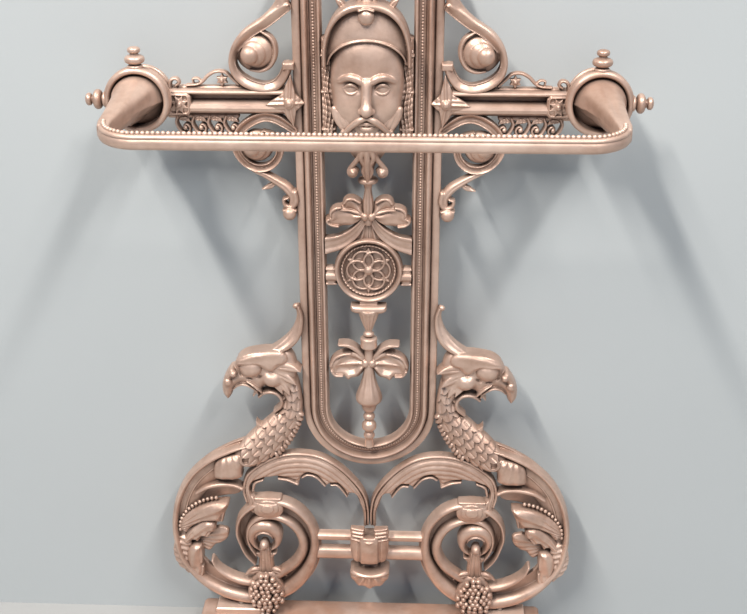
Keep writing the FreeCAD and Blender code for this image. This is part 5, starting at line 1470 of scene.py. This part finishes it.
# (degrees from upright, length, width)
for lean, length, wide in ((0, 44, 15), (26, 39, 12.5), (-26, 39, 12.5), (52, 31, 11),
                           (-52, 31, 11), (76, 22, 8.5), (-76, 22, 8.5)):
    a = math.radians(90 - lean)
    cast.leaf((0, 187), (length * math.cos(a), 186 + length * math.sin(a) - 1.0), lean * 0.03,
              wide, 12, 17, 6, lobes=3, notch=0.08, curl=2.5, blend=0.3, vein=1.5)
for s in (-1, 1):
    cast.strap(flip("""6 183 7, 14 179.5 7, 24 180 7.2, 33 185.5 7, 36.5 194 6.4, 32.5 201 5.4,
        26 200 4.4, 25.6 194.6 3.4""", s), 12, [17, 17, 17.5, 18, 19], 4.8, 0.4, groove=1)
    cast.strap(flip("26 178.5 4, 36 176 4.6, 41 180.5 4", s), 12, 16, 4, 0.6)
cast.button(0, 187, 8.8, 12, 22.5, 5.4, petals=8)
cast.button(0, 187, 3.6, 12, 26.5, 3)
cast.strap("-30 180.5 6, 0 179 7, 30 180.5 6", 12, 15, 4, 0.6)
cast.trim(12)
place("top_palmette", cast.mesh())


# ------------------------------------------------------ base and drip tray
# A level is (width, back d, front d, front corner radius, back corner radius, z above floor).
def plan_ring(width, back, front, corner, back_corner, z):
    """Closed ring of points round a rectangle with rounded corners."""
    half = width / 2
    points = []

    def arc(cx, cd, radius, start, count):
        for i in range(count):
            a = math.radians(start + 90 * i / count)
            points.append((cx + radius * math.cos(a), cd + radius * math.sin(a)))

    def line(x0, d0, x1, d1, count):
        for i in range(count):
            points.append((x0 + (x1 - x0) * i / count, d0 + (d1 - d0) * i / count))

    arc(half - back_corner, back + back_corner, back_corner, -90, 4)
    line(half, back + back_corner, half, front - corner, 14)
    arc(half - corner, front - corner, corner, 0, 10)
    line(half - corner, front, -half + corner, front, 24)
    arc(-half + corner, front - corner, corner, 90, 10)
    line(-half, front - corner, -half, back + back_corner, 14)
    arc(-half + back_corner, back + back_corner, back_corner, 180, 4)
    line(-half + back_corner, back, half - back_corner, back, 24)
    return [on_floor(x, d, z) for x, d in points]


def stack(levels, first_cap=True):
    return solid([plan_ring(*level) for level in levels], first_cap)


BASE_W, BASE_D, RIM = 400, 190, 17
OPEN_W, OPEN_D = BASE_W - 2 * RIM, BASE_D - RIM
REBATE_W, REBATE_D = OPEN_W + 2, OPEN_D + 1      # ledge the tray's flange rests on
WELL_W, WELL_D = OPEN_W - 18, OPEN_D - 9
HOLLOW_W, HOLLOW_D = OPEN_W - 34, OPEN_D - 17    # under the plinth


def base_level(inset, z):
    return (BASE_W - 2 * inset, inset * 0.6, BASE_D - inset, max(58 - inset, 6), 4, z)


outer_moulding = table("""1 0, 0.2 0.8, 0 2, 0 6.6, 0.3 7.8, 1.4 8.8, 3.2 9.3, 4.6 10.2,
    5.4 11.6, 6.2 13, 8.2 14, 9.6 16, 10.6 19, 10.9 22, 10.2 25, 8.8 27.4, 6.8 28.8, 5 29.6,
    4 31, 3.6 33.2, 4 35.4, 5.2 37.1, 7.2 38, 10 38""")   # (inset, z)
upper_side = [base_level(inset, z) for inset, z in outer_moulding] + [
    (OPEN_W + 6, 38.4, OPEN_D + 2.6, 47, 14, 38),
    (REBATE_W, 40, REBATE_D, 46, 14, 37.2),
    (REBATE_W, 40, REBATE_D, 46, 14, 33),
    (WELL_W + 1, 45.4, WELL_D + 0.6, 37, 9, 33),
    (WELL_W, 46, WELL_D, 36, 8, 32.2),
    (WELL_W, 46, WELL_D, 36, 8, 8.6),
    (WELL_W - 2, 46.8, WELL_D - 0.8, 35, 7.4, 8),
    (80, 90, 120, 10, 6, 8)]
under_side = [
    base_level(1, 0),
    (HOLLOW_W + 2, 53.4, HOLLOW_D + 0.6, 29, 6.6, 0),
    (HOLLOW_W, 54, HOLLOW_D, 28, 6, 0.8),
    (HOLLOW_W, 54, HOLLOW_D, 28, 6, 3.6),
    (HOLLOW_W - 4, 56, HOLLOW_D - 2, 26, 5, 4.6),
    (80, 90, 120, 10, 6, 4.6)]
base = place("base_tray_stand", joined([stack(upper_side, False), stack(under_side, False)]),
             material="bronze_base", slot="base_iron", angle=40)
# weld the two halves where they meet on the floor
bm = bmesh.new()
bm.from_mesh(base.data)
bmesh.ops.remove_doubles(bm, verts=bm.verts, dist=1e-6)
bmesh.ops.recalc_face_normals(bm, faces=bm.faces)
bm.to_mesh(base.data)
bm.free()

BOLT_X, BOLT_D = 150, 20


def cut_bolt_holes(ob, radius, z0, z1):
    discs = [solid(circle_rings([(z0, radius), (z1, radius)], 32, upward(s * BOLT_X, BOLT_D)))
             for s in (-1, 1)]
    tool = to_object("cutter", joined(discs), "steel")
    cut = ob.modifiers.new("cut", "BOOLEAN")
    cut.operation, cut.solver, cut.object = "DIFFERENCE", "EXACT", tool
    graph = bpy.context.evaluated_depsgraph_get()
    me = bpy.data.meshes.new_from_object(ob.evaluated_get(graph))
    ob.modifiers.clear()
    old = ob.data
    ob.data = me
    bpy.data.meshes.remove(old)
    bpy.data.objects.remove(tool)
    shade_smooth(me, 40)


cut_bolt_holes(base, radius=11, z0=-2, z1=8)
cut_bolt_holes(base, radius=4.2, z0=7, z1=45)


def bar(x0, x1, d0, d1, z0, z1, bevel):
    """Upright block with its top edges bevelled."""
    return solid([[on_floor(x, d, z) for x, d in (
        (x0 + e, d0 + e), (x1 - e, d0 + e), (x1 - e, d1 - e), (x0 + e, d1 - e))]
        for z, e in ((z0, 0), (z1 - bevel, 0), (z1, bevel))])


TRAY_W, TRAY_D = WELL_W - 4, WELL_D - 2
FLANGE_W, FLANGE_D = REBATE_W - 4, REBATE_D - 2
DISH_W, DISH_D = TRAY_W - 7, TRAY_D - 3.5
tray_levels = [
    (60, 100, 112, 5, 4, 10),
    (TRAY_W - 3, 49.2, TRAY_D - 1.4, 33, 5, 10),
    (TRAY_W - 0.8, 48.3, TRAY_D - 0.3, 33.7, 5.8, 10.5),
    (TRAY_W, 48, TRAY_D, 34, 6, 11.6),
    (TRAY_W, 48, TRAY_D, 34, 6, 33),
    (FLANGE_W - 1, 42.4, FLANGE_D - 0.4, 43.6, 11.6, 33),
    (FLANGE_W, 42, FLANGE_D, 44, 12, 33.8),
    (FLANGE_W, 42, FLANGE_D, 44, 12, 38.2),
    (FLANGE_W - 1, 42.5, FLANGE_D - 0.5, 43.4, 11.5, 39.3),
    (FLANGE_W - 4, 44, FLANGE_D - 2, 42, 10, 39.6),
    (FLANGE_W - 6, 45, FLANGE_D - 3, 41, 9, 38.8),
    (FLANGE_W - 7.2, 45.6, FLANGE_D - 3.6, 40.4, 8.4, 37),
    (DISH_W + 4, 49.6, DISH_D + 2, 32.5, 5, 36.2),
    (DISH_W + 1, 51, DISH_D + 0.5, 31, 3.6, 35.4),
    (DISH_W, 51.5, DISH_D, 30.5, 3.2, 33.6),
    (DISH_W - 1.2, 52.1, DISH_D - 0.6, 29.9, 3.2, 17),
    (DISH_W - 4, 53.5, DISH_D - 2, 28.5, 3.2, 14.2),
    (DISH_W - 9, 56, DISH_D - 4.5, 26, 3.2, 13.5),
    (60, 100, 112, 5, 3.2, 13.5)]
ribs = [bar(x - 1.5, x + 1.5, 66, 146, 13.2, 15, 0.5) for x in range(-120, 121, 40)]
place("drip_tray", joined([stack(tray_levels)] + ribs), material="tray", slot="tray_iron",
      body="tray", angle=40)

# feet of the back casting on the rear shelf
place_pair("scroll_foot", joined([bar(-178, -122, 8, 31, 38, 45.4, 1.4),
                                  bar(-172, -128, 9, 13.6, 46, 66, 1.2)]), angle=30)

# (z above floor, largest radius): chamfered head below, shank above
BOLT_ACROSS = 14
bolt_profile = [(2, BOLT_ACROSS / math.sqrt(3) * 0.92), (2.7, math.inf), (8, math.inf),
                (8, 4.2), (8.6, 3.5), (49, 3.5), (50, 2.8)]


def bolt(x):
    def point(z, limit, a):
        return upward(x, BOLT_D)(z, hex_radius(BOLT_ACROSS, a, limit), a)
    return fanned(circle_rings(bolt_profile, 36, point), upright=True)


place("base_bolts", joined([bolt(-BOLT_X), bolt(BOLT_X)]), **STEEL)


# ------------------------------------------------------------------- stage
def plain(name, rgb, rough, see_through_back=False):
    """Matt wall or floor paint, slightly clouded; its back can be hidden from the camera."""
    material = bpy.data.materials.new(name)
    material.use_nodes = True
    tree = material.node_tree
    surface = tree.nodes["Principled BSDF"]
    place_on = add_node(tree, "TexCoord", {}).outputs["Object"]
    clouds = add_node(tree, "TexNoise", {"Scale": 3.0, "Detail": 6.0, "Vector": place_on})
    tint = add_node(tree, "ValToRGB", {0: clouds.outputs[0]})
    for element, share in zip(tint.color_ramp.elements, (1 - 0.04, 1 + 0.04)):
        element.color = (*(min(1, c * share) for c in rgb), 1)
    tree.links.new(tint.outputs[0], surface.inputs["Base Color"])
    surface.inputs["Roughness"].default_value = rough
    grain = add_node(tree, "TexNoise", {"Scale": 420.0, "Vector": place_on})
    bump = add_node(tree, "Bump", {"Strength": 0.06, "Height": grain.outputs[0]})
    tree.links.new(bump.outputs[0], surface.inputs["Normal"])
    if see_through_back:
        behind = add_node(tree, "NewGeometry", {}).outputs["Backfacing"]
        camera_ray = add_node(tree, "LightPath", {}).outputs["Is Camera Ray"]
        hidden = add_node(tree, "Math", {0: behind, 1: camera_ray}, operation="MULTIPLY")
        clear = add_node(tree, "BsdfTransparent", {})
        mixed = add_node(tree, "MixShader", {0: hidden.outputs[0], 1: surface.outputs[0],
                                             2: clear.outputs[0]})
        tree.links.new(mixed.outputs[0], tree.nodes["Material Output"].inputs[0])
    return material


def add_to_stage(ob):
    bpy.context.scene.collection.objects.link(ob)


def sheet(name, corners, material):
    me = bpy.data.meshes.new(name)
    me.from_pydata(corners, [], [(0, 1, 2, 3)])
    me.materials.append(material)
    add_to_stage(bpy.data.objects.new(name, me))


BACKDROP_Y = 0.120
sheet("floor", [(-6, -6, 0), (6, -6, 0), (6, 6, 0), (-6, 6, 0)],
      plain("floor_paint", rgb=(0.355, 0.355, 0.345), rough=0.75))
sheet("backdrop", [(x, BACKDROP_Y, z) for x, z in ((-1.6, 0), (1.6, 0), (1.6, 2.2), (-1.6, 2.2))],
      plain("backdrop_paint", rgb=(0.450, 0.476, 0.476), rough=0.8, see_through_back=True))


def axes_matrix(x_axis, y_axis, z_axis, location):
    matrix = Matrix((x_axis, y_axis, z_axis)).transposed().to_4x4()
    matrix.translation = Vector(location)
    return matrix


def area_light(name, shape, size, power, colour):
    light = bpy.data.lights.new(name, "AREA")
    light.shape, light.size, light.energy, light.color = shape, size, power, colour
    return light, bpy.data.objects.new(name, light)


def strip(name, location, target, width, length, power, colour):
    """Long ceiling tube running out from the wall."""
    light, ob = area_light(name, "RECTANGLE", width, power, colour)
    light.size_y = length
    forward = (Vector(target) - Vector(location)).normalized()
    lengthwise = Vector((0, 1, 0))
    lengthwise = (lengthwise - forward * lengthwise.dot(forward)).normalized()
    ob.matrix_world = axes_matrix(lengthwise.cross(-forward), lengthwise, -forward, location)
    add_to_stage(ob)


def disk(name, location, target, size, power, colour):
    _, ob = area_light(name, "DISK", size, power, colour)
    ob.location = location
    aim = Vector(target) - Vector(location)
    ob.rotation_euler = aim.to_track_quat("-Z", "Y").to_euler()
    add_to_stage(ob)


strip("key", location=(-1.36, -1.70, 3.46), target=(-0.1, 0, 0.45), width=0.17, length=1.9,
      power=184.0, colour=(1.0, 0.95, 0.90))
strip("second", location=(1.55, -1.80, 3.60), target=(0, 0, 0.4), width=0.22, length=2.2,
      power=122.0, colour=(1.0, 0.97, 0.95))
disk("fill", location=(0.4, -2.4, 1.0), target=(0, 0, 0.4), size=1.6, power=4.5,
     colour=(0.86, 0.93, 1.0))

# the room looks pale where nothing stands, and lights the shadows blue
room = bpy.data.worlds.new("studio")
bpy.context.scene.world = room
room.use_nodes = True
tree = room.node_tree
blue = tree.nodes["Background"]
blue.inputs["Color"].default_value = (0.20, 0.50, 1.0, 1)
blue.inputs["Strength"].default_value = 0.16
pale = add_node(tree, "Background", {"Color": (0.56, 0.60, 0.62, 1), "Strength": 1.0})
seen = add_node(tree, "LightPath", {})
pick = add_node(tree, "MixShader", {0: seen.outputs["Is Camera Ray"], 1: blue.outputs[0],
                                    2: pale.outputs[0]})
tree.links.new(pick.outputs[0], tree.nodes["World Output"].inputs["Surface"])
bpy.context.scene.view_settings.view_transform = "Standard"

# ------------------------------------------------------------------ camera
# looking down by tilt, turned left by the negative yaw
tilt, yaw, roll = math.radians(24.36), math.radians(-2.49), math.radians(0.15)
forward = Vector((math.sin(yaw) * math.cos(tilt), math.cos(yaw) * math.cos(tilt),
                  -math.sin(tilt)))
level = Vector((math.cos(yaw), -math.sin(yaw), 0))
above = level.cross(forward)
camera_data = bpy.data.cameras.new("camera")
camera_data.sensor_fit = "HORIZONTAL"
camera_data.sensor_width = 36.0
camera_data.lens = 54.85
camera_data.clip_start = 0.02
camera = bpy.data.objects.new("camera", camera_data)
camera.matrix_world = axes_matrix(math.cos(roll) * level - math.sin(roll) * above,
                                  math.sin(roll) * level + math.cos(roll) * above,
                                  -forward, (0.0510, -0.9857, 0.9075))
bpy.context.scene.camera = camera
add_to_stage(camera)
